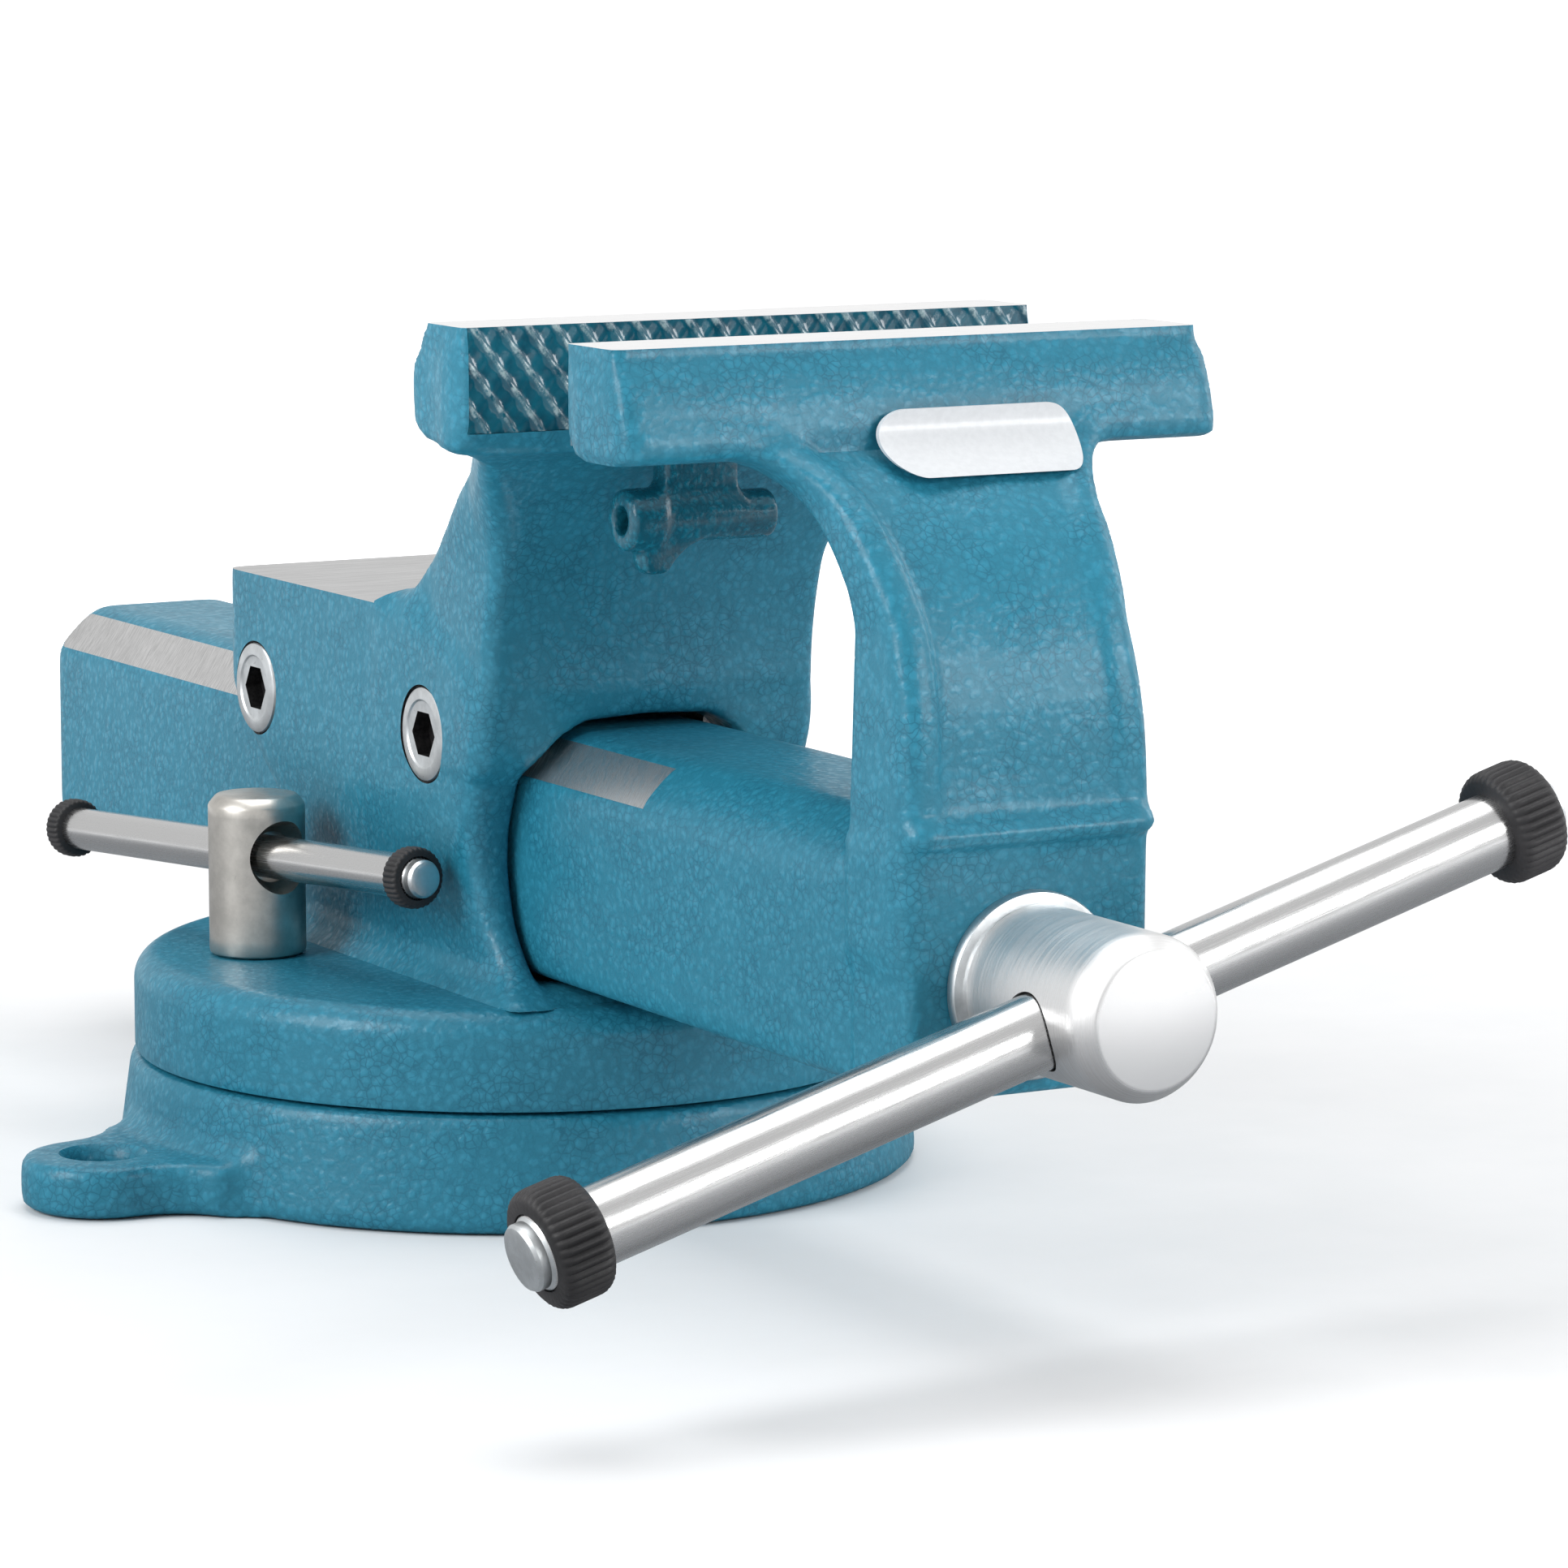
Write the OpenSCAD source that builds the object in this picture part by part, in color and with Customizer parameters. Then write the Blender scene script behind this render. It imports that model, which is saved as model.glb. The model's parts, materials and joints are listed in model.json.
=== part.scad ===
// Bench vise with a sliding front jaw, a screw spindle and a swivel base.
// Origin: swivel axis on the underside of the base. +Z up, -Y towards the user, +X to the user's right.

/* [Jaws] */
// Width of both jaws
jaw_w = 140; // [120:1:160]
// Height of the jaw tops above the bench
jaw_top = 204; // [198:1:210]
// Distance of the fixed gripping face in front of the swivel axis
fixed_face = 114.5; // [112:0.5:118]
// Opening between the gripping faces
opening = 45.5; // [40:0.5:60]
// Depth of a jaw from its gripping face to its back
jaw_depth = 26.5; // [24:0.5:28]
// Height of the fixed jaw block
fixed_jaw_h = 25.5; // [24:0.5:27]
// Height of the moving jaw block
moving_jaw_h = 22.5; // [21:0.5:25]

/* [Throat] */
// Depth of the fixed throat behind the gripping face
throat_depth = 46; // [42:1:48]
// Height where the fixed throat's curve starts
throat_z = 118; // [116:1:120]
// Height of the fixed throat's curve
throat_rise = 60; // [56:1:61]
// Radius of the arch between the fixed upright and its jaw
arch_r = 36; // [24:1:38]
// Depth of the moving throat behind the gripping face
front_throat_depth = 43.5; // [42:0.5:46]
// Height where the moving throat's curve starts
front_throat_z = 146; // [130:1:148]
// Radius of the arch between the moving upright and its jaw
front_arch_r = 16; // [14:1:24]
// Half width of the moving upright at its waist
upright_waist = 27.9; // [26:0.1:29]
// Height of the waist of the moving upright
waist_z = 148; // [140:1:152]

/* [Slide] */
// Width of the slide
slide_w = 57; // [55:0.5:58]
// Height of the underside of the slide
slide_z = 53.5; // [53:0.1:54]
// Height of the top of the slide
slide_top = 108.8; // [107:0.1:109]
// Height where the guide chamfer starts
chamfer_z = 98; // [97:0.5:99]
// Size of the guide chamfer
chamfer = 7.8; // [7:0.1:8.5]
// Rear end of the slide behind the swivel axis
slide_rear = 207.5; // [200:0.5:215]
// Width of the spindle cavity
cavity_w = 36; // [35:0.5:38]
// Width of the slot in the slide's underside
slot_w = 20; // [20:0.5:22]

/* [Body] */
// Width of the body and of the anvil
body_w = 84; // [82:1:88]
// Width of the body where it meets the swivel disc
foot_w = 73; // [72:1:78]
// Height of the anvil face
anvil_z = 133.6; // [130:0.1:136]
// Rear end of the body behind the swivel axis
body_rear = 70.5; // [66:0.5:75]
// Front of the body at its waist, in front of the swivel axis
body_waist = 61.5; // [58:0.5:64]
// Front of the body at its foot, in front of the swivel axis
body_foot = 74.5; // [70:0.5:76]
// Height of the guide screws
guide_screw_z = 106.5; // [105:0.5:108]
// Head diameter of the guide screws
guide_head_d = 21.5; // [20:0.5:22]

/* [Base] */
// Diameter of the base on the bench
base_d = 188; // [184:1:192]
// Diameter of the base at the swivel seam
seam_d = 180; // [178:1:182]
// Height of the base
base_h = 26.4; // [26:0.1:27]
// Height of the top of the swivel disc
disc_top = 49.5; // [49:0.1:49.7]
// Distance of a bolt ear's hole from the swivel axis
ear_reach = 109.5; // [107:0.5:112]
// Radius of a bolt ear
ear_r = 19; // [17:0.5:20]
// Thickness of a bolt ear
ear_h = 12; // [10:0.5:14]
// Diameter of the bench bolt holes
ear_hole_d = 16; // [13:1:16]
// Direction of the left bolt ear
ear_left_deg = 184; // [180:1:190]
// Direction of the rear bolt ear
ear_rear_deg = 20; // [15:1:60]

/* [Spindle] */
// Height of the spindle axis
spindle_z = 76; // [75:0.5:77]
// Diameter of the screw
screw_d = 24; // [22:1:24]
// Rear end of the screw behind the swivel axis
screw_rear = 136; // [134:1:150]
// Diameter of the spindle head
head_d = 34; // [32:1:36]
// Length of the spindle head
head_len = 45; // [43:0.5:50]
// Length of the handle bar
bar_len = 249; // [230:1:260]
// Diameter of the handle bar
bar_d = 16; // [15:0.5:17]
// Tilt of the handle bar
bar_tilt = 16.2; // [0:0.1:45]
// Shift of the handle bar towards its low end
bar_shift = 10.4; // [0:0.1:40]

/* [Swivel lock] */
// Lock screw axis, to the left of the swivel axis
lock_x = 58.4; // [58:0.1:60]
// Lock screw axis, behind the swivel axis
lock_y = 17.9; // [17:0.1:24]
// Height of the top of the lock screw
lock_top = 87; // [85:0.5:90]
// Diameter of the lock screw's hub
lock_d = 22.5; // [21:0.5:23]
// Height of the lock bar
lock_bar_z = 72.6; // [71:0.1:73.5]
// Direction of the lock bar
lock_bar_deg = 98; // [95:1:99]
// Drop of the lock bar towards its rear end
lock_bar_drop = 2.7; // [0:0.1:3]
// Length of the lock bar in front of the screw
lock_bar_front = 69.9; // [60:0.1:76]
// Length of the lock bar behind the screw
lock_bar_rear = 87.1; // [80:0.1:90]
// Diameter of the lock bar
lock_bar_d = 10; // [9:0.5:10]

/* [Hidden] */
$fn = 96;

// Clearances: a running fit, a fit between fixed pieces, and the gap between faces of moving pieces.
running = 0.06;
snug = 0.05;
gap = 0.4;
// Overlap that joins or cuts faces cleanly.
eps = 0.5;

paint = [0.20, 0.45, 0.53];
bright = [0.80, 0.81, 0.82];
zinc = [0.74, 0.75, 0.76];
dark = [0.30, 0.31, 0.33];
black = [0.08, 0.08, 0.09];

fixed_y = -fixed_face;
moving_y = fixed_y - opening;
half_jaw = jaw_w / 2;
slide_half = slide_w / 2;
body_half = body_w / 2;
// Depth of the flat on top of each jaw.
fixed_top = 18.5;
moving_top = 21;
foot_half = foot_w / 2;

// Moving upright: depths are measured forwards from the moving gripping face.
boss_depth = 68;
lip_depth = 72.5;
lip_z = 102.5;
lip_top = 109;
nose_centre = 4.5;
nose_rise = 73;
boss_face = moving_y - boss_depth;
boss_back = boss_face + 24;
boss_half = 27.8;
boss_bottom = 53;
lip_half = 29.3;

// Swivel: shoulder bolt, annular clamp groove and clamp nut.
disc_z = base_h + gap;
lock_r = norm([lock_x, lock_y]);
groove_w = 14;
groove_z = 17;
tee_w = 28;
tee_z = 7;
shoulder_d = 24;
pivot_thread_d = 20;
pivot_head_d = 36;
pivot_seat_z = 38;
pivot_washer_t = 3;
pivot_head_h = 7;

// Spindle stations along Y.
washer_t = 3;
washer_d = 39;
head_y = boss_face - washer_t;
neck_d = screw_d + 1;
collar_y = boss_back + gap;
collar_len = 11;
collar_d = 32;
neck_end = collar_y + collar_len + 4;
bar_y = head_y - 23.5;

// Spindle nut on its stem.
nut_front = -55;
nut_rear = -17;
nut_d = 34;
stem_half = 9.5;
stem_front = -50;
stem_rear = -22;
stem_z = 40;
nut_screw_d = 10;

bar_ring_d = 24.5;
bar_ring_w = 11.5;
bar_stub = 3.5;
lock_ring_d = 14;
lock_ring_w = 5;
lock_stub = 3;
guide_screws_y = [-37, 53];
// Distance of a pipe jaw behind its gripping face.
pipe_depth = 8.5;
// Offset of a pipe jaw to its side.
pipe_x = 10;
pipe_z = 160.5;
strip_front = -52;

// Points on an ellipse around (cy, cz), from angle a0 to a1.
function arc(cy, cz, ry, rz, a0, a1, n = 14) =
    [for (i = [0 : n]) let (a = a0 + (a1 - a0) * i / n) [cy + ry * cos(a), cz + rz * sin(a)]];

// Mirror a half outline in the vertical axis to close it.
function both_sides(half) = concat(half, [for (i = [len(half) - 1 : -1 : 0]) [-half[i][0], half[i][1]]]);

// Outline in Y and Z, extruded along X over the width w.
module along_x(w) {
    rotate([90, 0, 90])
        linear_extrude(w, center = true)
            children();
}

// Outline in X and Z, extruded along Y from y0 to y1.
module along_y(y0, y1) {
    translate([0, y1, 0])
        rotate([90, 0, 0])
            linear_extrude(y1 - y0)
                children();
}

// Cylinder along Y between two stations.
module rod_y(d, y0, y1) {
    translate([0, y0, 0])
        rotate([-90, 0, 0])
            cylinder(d = d, h = y1 - y0);
}

// Place children, drawn along +X, on the axis of the handle bar.
module on_handle() {
    translate([0, bar_y, spindle_z])
        rotate([0, -bar_tilt, 0])
            children();
}

// Place children, drawn along +X, on the axis of the lock bar.
module on_lock_bar() {
    translate([-lock_x, lock_y, lock_bar_z])
        rotate([0, 0, lock_bar_deg])
            rotate([0, lock_bar_drop, 0])
                children();
}

// Round bar along X with chamfered ends.
module bar_x(d, x0, x1, c) {
    translate([x0, 0, 0])
        rotate([0, 90, 0])
            rotate_extrude()
                polygon([[0, 0], [d / 2 - c, 0], [d / 2, c], [d / 2, x1 - x0 - c], [d / 2 - c, x1 - x0],
                    [0, x1 - x0]]);
}

// Ring along X.
module ring_x(d, bore, x0, w) {
    translate([x0, 0, 0])
        rotate([0, 90, 0])
            difference() {
                cylinder(d = d, h = w);
                translate([0, 0, -eps]) cylinder(d = bore, h = w + 2 * eps);
            }
}

// End outline of a jaw block: depth behind the gripping face, and height.
module jaw_outline(top, h) {
    low = jaw_top - h;
    polygon([[0, jaw_top], [top, jaw_top], [top + 2.5, jaw_top - 2], [jaw_depth - 0.8, jaw_top - 10],
        [jaw_depth, jaw_top - 17], [jaw_depth - 1, low + 2.5], [jaw_depth - 6.5, low], [5, low],
        [0, low + 4]]);
}

// Half outline of an upright seen from the front: foot, waist, arch, and out under the jaw.
function upright_half_outline(foot, waist, z0, z1, z2, low, r) =
    concat([[foot, z0], [foot, z1], [waist, z2]],
        arc(foot + r, low - r, r, r, 180, acos(min(0, (half_jaw - foot - r) / r))),
        [[half_jaw, low], [half_jaw, jaw_top]]);

module slide_section(grow = 0, top = slide_top) {
    h = slide_half + grow;
    crown = slide_half - chamfer - 4;
    polygon([[-h, slide_z - grow], [h, slide_z - grow], [h, chamfer_z], [h - chamfer, chamfer_z + chamfer],
        [crown, top], [-crown, top], [-h + chamfer, chamfer_z + chamfer], [-h, chamfer_z]]);
}

module base_plate() {
    color(paint)
        difference() {
            union() {
                cylinder(d1 = base_d, d2 = seam_d, h = base_h);
                for (a = [ear_left_deg, ear_rear_deg]) rotate([0, 0, a]) bolt_ear();
            }
            for (a = [ear_left_deg, ear_rear_deg]) rotate([0, 0, a]) ear_hole();
            translate([0, 0, 5]) cylinder(d = pivot_thread_d + 2 * snug, h = base_h);
            clamp_groove();
        }
}

// Ear with concave flanks that flare into the base.
module bolt_ear() {
    flank = 16;
    root = 78;
    linear_extrude(ear_h)
        difference() {
            union() {
                translate([ear_reach, 0]) circle(ear_r);
                translate([root, -ear_r - 9]) square([ear_reach - root, 2 * ear_r + 18]);
            }
            for (s = [-1, 1]) translate([ear_reach + 1, s * (ear_r + flank)]) circle(flank);
        }
}

module ear_hole() {
    rim = 2.5;
    translate([ear_reach, 0, -eps]) cylinder(d = ear_hole_d, h = ear_h + 2 * eps);
    translate([ear_reach, 0, ear_h - rim])
        cylinder(d1 = ear_hole_d, d2 = ear_hole_d + 2 * rim, h = rim + 0.01);
}

module clamp_groove() {
    rotate_extrude()
        union() {
            translate([lock_r - groove_w / 2, groove_z - eps])
                square([groove_w, base_h - groove_z + 2 * eps]);
            translate([lock_r - tee_w / 2, tee_z]) square([tee_w, groove_z - tee_z]);
        }
}

// Shoulder bolt that the swivel disc turns on.
module pivot_bolt() {
    head_z = pivot_seat_z + pivot_washer_t + gap;
    color(dark)
        rotate_extrude()
            polygon([[0, 6], [pivot_thread_d / 2 - 1, 6], [pivot_thread_d / 2, 7],
                [pivot_thread_d / 2, base_h],
                [shoulder_d / 2, base_h], [shoulder_d / 2, head_z], [pivot_head_d / 2, head_z],
                [pivot_head_d / 2, head_z + pivot_head_h - 1],
                [pivot_head_d / 2 - 1, head_z + pivot_head_h],
                [0, head_z + pivot_head_h]]);
}

module pivot_washer() {
    color(zinc)
        translate([0, 0, pivot_seat_z + gap])
            difference() {
                cylinder(d = pivot_head_d, h = pivot_washer_t);
                translate([0, 0, -eps]) cylinder(d = shoulder_d + 2 * snug, h = pivot_washer_t + 2 * eps);
            }
}

module swivel_disc() {
    r = seam_d / 2 - 0.5;
    rim = 7;
    color(paint)
        difference() {
            rotate_extrude()
                polygon(concat([[0, disc_z], [r - 1, disc_z], [r, disc_z + 1]],
                    arc(r - rim, disc_top - rim, rim, rim, 0, 90, 8), [[0, disc_top]]));
            cylinder(d = shoulder_d + 2 * running, h = disc_top + eps);
            translate([0, 0, pivot_seat_z]) cylinder(d = pivot_head_d + 1, h = disc_top);
            translate([-lock_x, lock_y, 0]) cylinder(d = 12.6, h = disc_top + eps);
            translate([-stem_half - snug, stem_front - snug, stem_z - snug])
                cube([2 * (stem_half + snug), stem_rear - stem_front + 2 * snug, disc_top]);
            translate([0, (stem_front + stem_rear) / 2, 0]) {
                cylinder(d = nut_screw_d + 0.6, h = disc_top);
                cylinder(d = 16.6, h = 37);
            }
            disc_bolt_places() {
                cylinder(d = 6.6, h = disc_top + eps);
                cylinder(d = 11, h = 37);
            }
        }
}

module disc_bolt_places() {
    for (x = [-33.2, 33.2], y = [-44, 34]) translate([x, y, 0]) children();
}

module disc_bolts() {
    color(dark)
        disc_bolt_places() {
            translate([0, 0, 37]) cylinder(d = 6, h = 28);
            translate([0, 0, 30]) cylinder(d = 10, h = 7);
        }
}

// Clamp nut that rides in the base's groove under the lock screw.
module clamp_nut() {
    color(zinc)
        rotate([0, 0, atan2(lock_y, -lock_x)])
            difference() {
                union() {
                    translate([lock_r - 12, -12, 9]) cube([24, 24, groove_z - gap - 9]);
                    translate([lock_r - 6, -8, 9]) cube([12, 16, base_h - 1 - 9]);
                }
                translate([lock_r, 0, 0]) cylinder(d = 12 + 2 * running, h = base_h);
            }
}

module vise_body() {
    color(paint)
        difference() {
            union() {
                fixed_upright();
                body_housing();
                along_x(jaw_w) translate([fixed_y, 0]) jaw_outline(fixed_top, fixed_jaw_h);
            }
            along_y(-200, 200) slide_section(gap, slide_top + 2.4);
            strip_pockets();
            for (s = [-1, 1], y = guide_screws_y) guide_screw_hole(s, y);
            translate([-stem_half - snug, stem_front - snug, disc_top - eps])
                cube([2 * (stem_half + snug), stem_rear - stem_front + 2 * snug, 10]);
            disc_bolt_places() translate([0, 0, 40]) cylinder(d = 6 + 2 * snug, h = 26);
            pipe_jaw_pins(-pipe_x, fixed_y + pipe_depth, jaw_top - fixed_jaw_h, snug);
            pipe_jaw_seat(-pipe_x, fixed_y + pipe_depth, jaw_top - fixed_jaw_h);
        }
}

// Housing around the slide, with the anvil on top and an undercut below its rear end.
module body_housing() {
    bottom = disc_top + 0.02;
    intersection() {
        along_x(body_w + 10)
            polygon([[-body_foot, bottom], [-body_foot + 6, 54], [-body_foot + 15, 65],
                [-body_foot + 18.5, 77], [-body_foot + 18, 86], [-body_waist, 98], [-body_waist - 4, 108],
                [-body_waist + 3, throat_z + 4], [-30, anvil_z],
                [body_rear, anvil_z], [body_rear, 105], [47, 81], [44, bottom]]);
        along_y(-100, 100)
            polygon(both_sides([[foot_half, bottom], [body_half, 94], [body_half, anvil_z]]));
    }
}

// Fixed upright, leaning forwards from the anvil to the jaw and narrowing towards the rear.
module fixed_upright() {
    low = jaw_top - fixed_jaw_h;
    intersection() {
        along_x(jaw_w)
            translate([fixed_y, 0])
                polygon(concat([[4, jaw_top - 6], [4, low]],
                    arc(0, throat_z, throat_depth, throat_rise, 82, 0),
                    [[49.5, 108], [52, 100], [103, 100], [103, anvil_z], [90, 138.5], [78, 147.5],
                    [59, 163],
                    [47, 171], [36, 177.5], [24, 186], [20, jaw_top - 6]]));
        along_y(fixed_y, 0)
            polygon(both_sides(upright_half_outline(body_half, body_half + 0.2, 100, 120, 145, low,
                arch_r)));
        linear_extrude(jaw_top)
            translate([0, fixed_y])
                polygon(both_sides([[half_jaw, 0], [half_jaw, 8], [56, 22], [45.5, 47], [40, 78],
                    [39, 103]]));
    }
}

strip_out = slide_half + 4.7;
strip_low = chamfer_z - 0.5;
strip_in = slide_half - chamfer + 0.8;

module strip_section(grow) {
    clear = 0.3 - grow;
    polygon([[strip_out + grow, strip_low - grow], [strip_out + grow, slide_top + 2.4 + grow],
        [strip_in - grow, slide_top + 2.4 + grow], [strip_in - grow, chamfer_z + chamfer + clear],
        [slide_half + clear, chamfer_z + clear], [slide_half + clear + 0.1, strip_low - grow]]);
}

module strip_pockets() {
    for (s = [0, 1])
        mirror([s, 0, 0])
            along_y(strip_front - snug, body_rear + eps)
                polygon([[strip_out + snug, strip_low - snug], [strip_out + snug, slide_top + 2.4 + snug],
                    [10, slide_top + 2.4 + snug], [10, strip_low - snug]]);
}

// Guide strip that bears on one chamfer of the slide.
module guide_strip(side) {
    color(bright)
        mirror([side > 0 ? 0 : 1, 0, 0])
            along_y(strip_front, body_rear - 2) strip_section(0);
}

module guide_strip_left() {
    guide_strip(-1);
}

module guide_strip_right() {
    guide_strip(1);
}

module guide_screw_shape(grow) {
    r = guide_head_d / 2 + grow;
    rotate_extrude()
        polygon([[0, 0], [6 + grow, 0], [6 + grow, 4.2], [r, 8.3], [r, 9.3], [0, 9.3]]);
}

module at_guide_screw(side, y) {
    translate([side * (strip_out + snug), y, guide_screw_z]) rotate([0, side * 90, 0]) children();
}

module guide_screw_hole(side, y) {
    at_guide_screw(side, y) {
        guide_screw_shape(snug);
        translate([0, 0, 8]) cylinder(d = guide_head_d + 1, h = 4);
    }
}

// Countersunk hexagon-socket screws that press one guide strip home.
module guide_screws(side) {
    socket = 12;
    color(zinc)
        for (y = guide_screws_y)
            at_guide_screw(side, y)
                difference() {
                    guide_screw_shape(0);
                    translate([0, 0, 5.2]) cylinder(d = socket, h = 8, $fn = 6);
                }
}

module guide_screws_left() {
    guide_screws(-1);
}

module guide_screws_right() {
    guide_screws(1);
}

// Nut on a stem that stands up through the slot of the slide.
module spindle_nut() {
    color(zinc)
        difference() {
            union() {
                translate([0, 0, spindle_z]) rod_y(nut_d, nut_front, nut_rear);
                translate([-stem_half, stem_front, stem_z])
                    cube([2 * stem_half, stem_rear - stem_front, spindle_z - stem_z]);
            }
            translate([0, 0, spindle_z]) rod_y(screw_d + 2 * running, nut_front - eps, nut_rear + eps);
            translate([0, (stem_front + stem_rear) / 2, stem_z - eps])
                cylinder(d = nut_screw_d + 2 * snug, h = 18);
        }
}

module nut_screw() {
    color(dark)
        translate([0, (stem_front + stem_rear) / 2, 0]) {
            translate([0, 0, 37]) cylinder(d = nut_screw_d, h = 19);
            translate([0, 0, 29]) cylinder(d = 16, h = 8);
        }
}

// Pins that hold a pipe jaw under a jaw block. x is the middle of its web.
module pipe_jaw_pins(x, y, low, grow) {
    for (s = [-5, 5])
        translate([x + s, y, low - 4]) cylinder(d = 6 + 2 * grow, h = 12 + grow);
}

web_w = 18;
web_d = 7;
pipe_half = 18;

// Seat in a forging for the web of a pipe jaw.
module pipe_jaw_seat(x, y, low) {
    translate([x - web_w / 2 - snug, y - web_d / 2 - snug, low - 12])
        cube([web_w + 2 * snug, web_d + 2 * snug, 12]);
}

// Round pipe-gripping bar hung below a jaw on a web. x is its middle, end the side of its hollow collar.
module pipe_jaw(x, y, low, end) {
    color(paint)
        union() {
            translate([x, y, pipe_z])
                difference() {
                    union() {
                        bar_x(10.5, -pipe_half, pipe_half, 1);
                        ring_x(13.5, 9, end * (pipe_half - 4) - 4, 8);
                    }
                    translate([end * pipe_half, 0, 0])
                        rotate([0, 90, 0])
                            cylinder(d = 6, h = 20, center = true);
                }
            translate([x - web_w / 2, y - web_d / 2, pipe_z])
                cube([web_w, web_d, low - snug - pipe_z]);
            translate([x + end * (pipe_half - 11) - 7, y - 3, pipe_z - 12]) cube([14, 6, 9]);
            pipe_jaw_pins(x, y, low, 0);
        }
}

module pipe_jaw_rear() {
    pipe_jaw(-pipe_x, fixed_y + pipe_depth, jaw_top - fixed_jaw_h, -1);
}

module pipe_jaw_front() {
    pipe_jaw(pipe_x, moving_y - pipe_depth, jaw_top - moving_jaw_h, 1);
}

// Moving jaw, its upright, the boss for the spindle and the slide, forged in one piece.
module front_jaw() {
    color(paint)
        difference() {
            union() {
                moving_upright();
                boss();
                along_x(jaw_w)
                    translate([moving_y, 0])
                        mirror([1, 0])
                            jaw_outline(moving_top, moving_jaw_h);
                along_y(boss_back - 2, slide_rear) slide_section();
            }
            along_y(boss_back, slide_rear + eps)
                polygon(both_sides([[cavity_w / 2, spindle_z - cavity_w / 2],
                    [cavity_w / 2, spindle_z + cavity_w / 2]]));
            along_y(stem_front - 52, slide_rear + eps)
                polygon(both_sides([[slot_w / 2, boss_bottom - eps], [slot_w / 2, spindle_z]]));
            translate([0, 0, spindle_z]) rod_y(neck_d + 2 * running, boss_face - 10, boss_back + eps);
            pipe_jaw_pins(pipe_x, moving_y - pipe_depth, jaw_top - moving_jaw_h, snug);
            pipe_jaw_seat(pipe_x, moving_y - pipe_depth, jaw_top - moving_jaw_h);
        }
}

module moving_upright() {
    low = jaw_top - moving_jaw_h;
    intersection() {
        along_x(jaw_w)
            translate([moving_y, 0])
                mirror([1, 0])
                    polygon(concat([[4, jaw_top - 5], [4, low + 3]],
                        arc(0, front_throat_z, front_throat_depth, low - 3 - front_throat_z, 82, 0),
                        [[front_throat_depth, lip_z - 20], [boss_depth, lip_z - 20],
                        [boss_depth, lip_z], [lip_depth, lip_z], [lip_depth, lip_top]],
                        arc(nose_centre, throat_z, boss_depth + 1 - nose_centre, nose_rise, 3, 66),
                        [[22, jaw_top - 5]]));
        along_y(boss_face - 10, moving_y)
            polygon(both_sides(upright_half_outline(lip_half, upright_waist, 60, 112, waist_z, low,
                front_arch_r)));
    }
}

module boss() {
    along_y(boss_face, boss_back + 6)
        polygon(both_sides([[boss_half - 4, boss_bottom], [boss_half, boss_bottom + 4],
            [boss_half, lip_z]]));
}

module thrust_washer() {
    color(zinc)
        translate([0, 0, spindle_z])
            difference() {
                rod_y(washer_d, head_y + 0.05, boss_face - 0.05);
                rod_y(neck_d + 2 * running, head_y - eps, boss_face + eps);
            }
}

// Screw with its neck and its cross-drilled head, turned in one piece.
module spindle() {
    front = head_y - head_len;
    lead_in = 3;
    color(bright)
        difference() {
            translate([0, front, spindle_z])
                rotate([-90, 0, 0])
                    rotate_extrude()
                        polygon([[0, 0], [head_d / 2 - lead_in, 0], [head_d / 2, 4],
                            [head_d / 2, head_len - 0.6],
                            [head_d / 2 - 0.6, head_len], [neck_d / 2, head_len],
                            [neck_d / 2, neck_end - front],
                            [screw_d / 2, neck_end - front], [screw_d / 2, screw_rear - lead_in - front],
                            [screw_d / 2 - lead_in, screw_rear - front], [0, screw_rear - front]]);
            on_handle() rotate([0, 90, 0]) cylinder(d = bar_d + 1, h = 2 * head_d, center = true);
            translate([0, collar_y + collar_len / 2, spindle_z])
                cylinder(d = 4 + 2 * snug, h = 60, center = true);
        }
}

module retaining_collar() {
    color(zinc)
        translate([0, 0, spindle_z])
            difference() {
                rod_y(collar_d, collar_y, collar_y + collar_len);
                rod_y(neck_d + 2 * snug, collar_y - eps, collar_y + collar_len + eps);
                translate([0, collar_y + collar_len / 2, 0])
                    cylinder(d = 4 + 2 * snug, h = 60, center = true);
            }
}

module collar_pin() {
    color(dark)
        translate([0, collar_y + collar_len / 2, spindle_z])
            cylinder(d = 4, h = collar_d - 1, center = true);
}

module handle_bar() {
    color(bright)
        on_handle() bar_x(bar_d, -bar_len / 2 - bar_shift, bar_len / 2 - bar_shift, 1.6);
}

module handle_ring(x) {
    color(black)
        on_handle() ring_x(bar_ring_d, bar_d + 2 * snug, x, bar_ring_w);
}

module handle_ring_left() {
    handle_ring(-bar_len / 2 - bar_shift + bar_stub);
}

module handle_ring_right() {
    handle_ring(bar_len / 2 - bar_shift - bar_stub - bar_ring_w);
}

module lock_screw() {
    low = disc_top + 0.3;
    r = lock_d / 2;
    color(zinc)
        difference() {
            translate([-lock_x, lock_y, 0])
                rotate_extrude()
                    polygon([[0, 11], [5, 11], [6, 12], [6, low], [r - 0.5, low], [r, low + 0.5],
                        [r, lock_top - 1.3], [r - 1.3, lock_top], [0, lock_top]]);
            on_lock_bar() rotate([0, 90, 0]) cylinder(d = lock_bar_d + 1, h = 40, center = true);
        }
}

module lock_bar() {
    color(bright)
        on_lock_bar() bar_x(lock_bar_d, -lock_bar_front, lock_bar_rear, 1);
}

module lock_ring(x) {
    color(black)
        on_lock_bar() ring_x(lock_ring_d, lock_bar_d + 2 * snug, x, lock_ring_w);
}

module lock_ring_front() {
    lock_ring(-lock_bar_front + lock_stub);
}

module lock_ring_rear() {
    lock_ring(lock_bar_rear - lock_stub - lock_ring_w);
}

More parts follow.
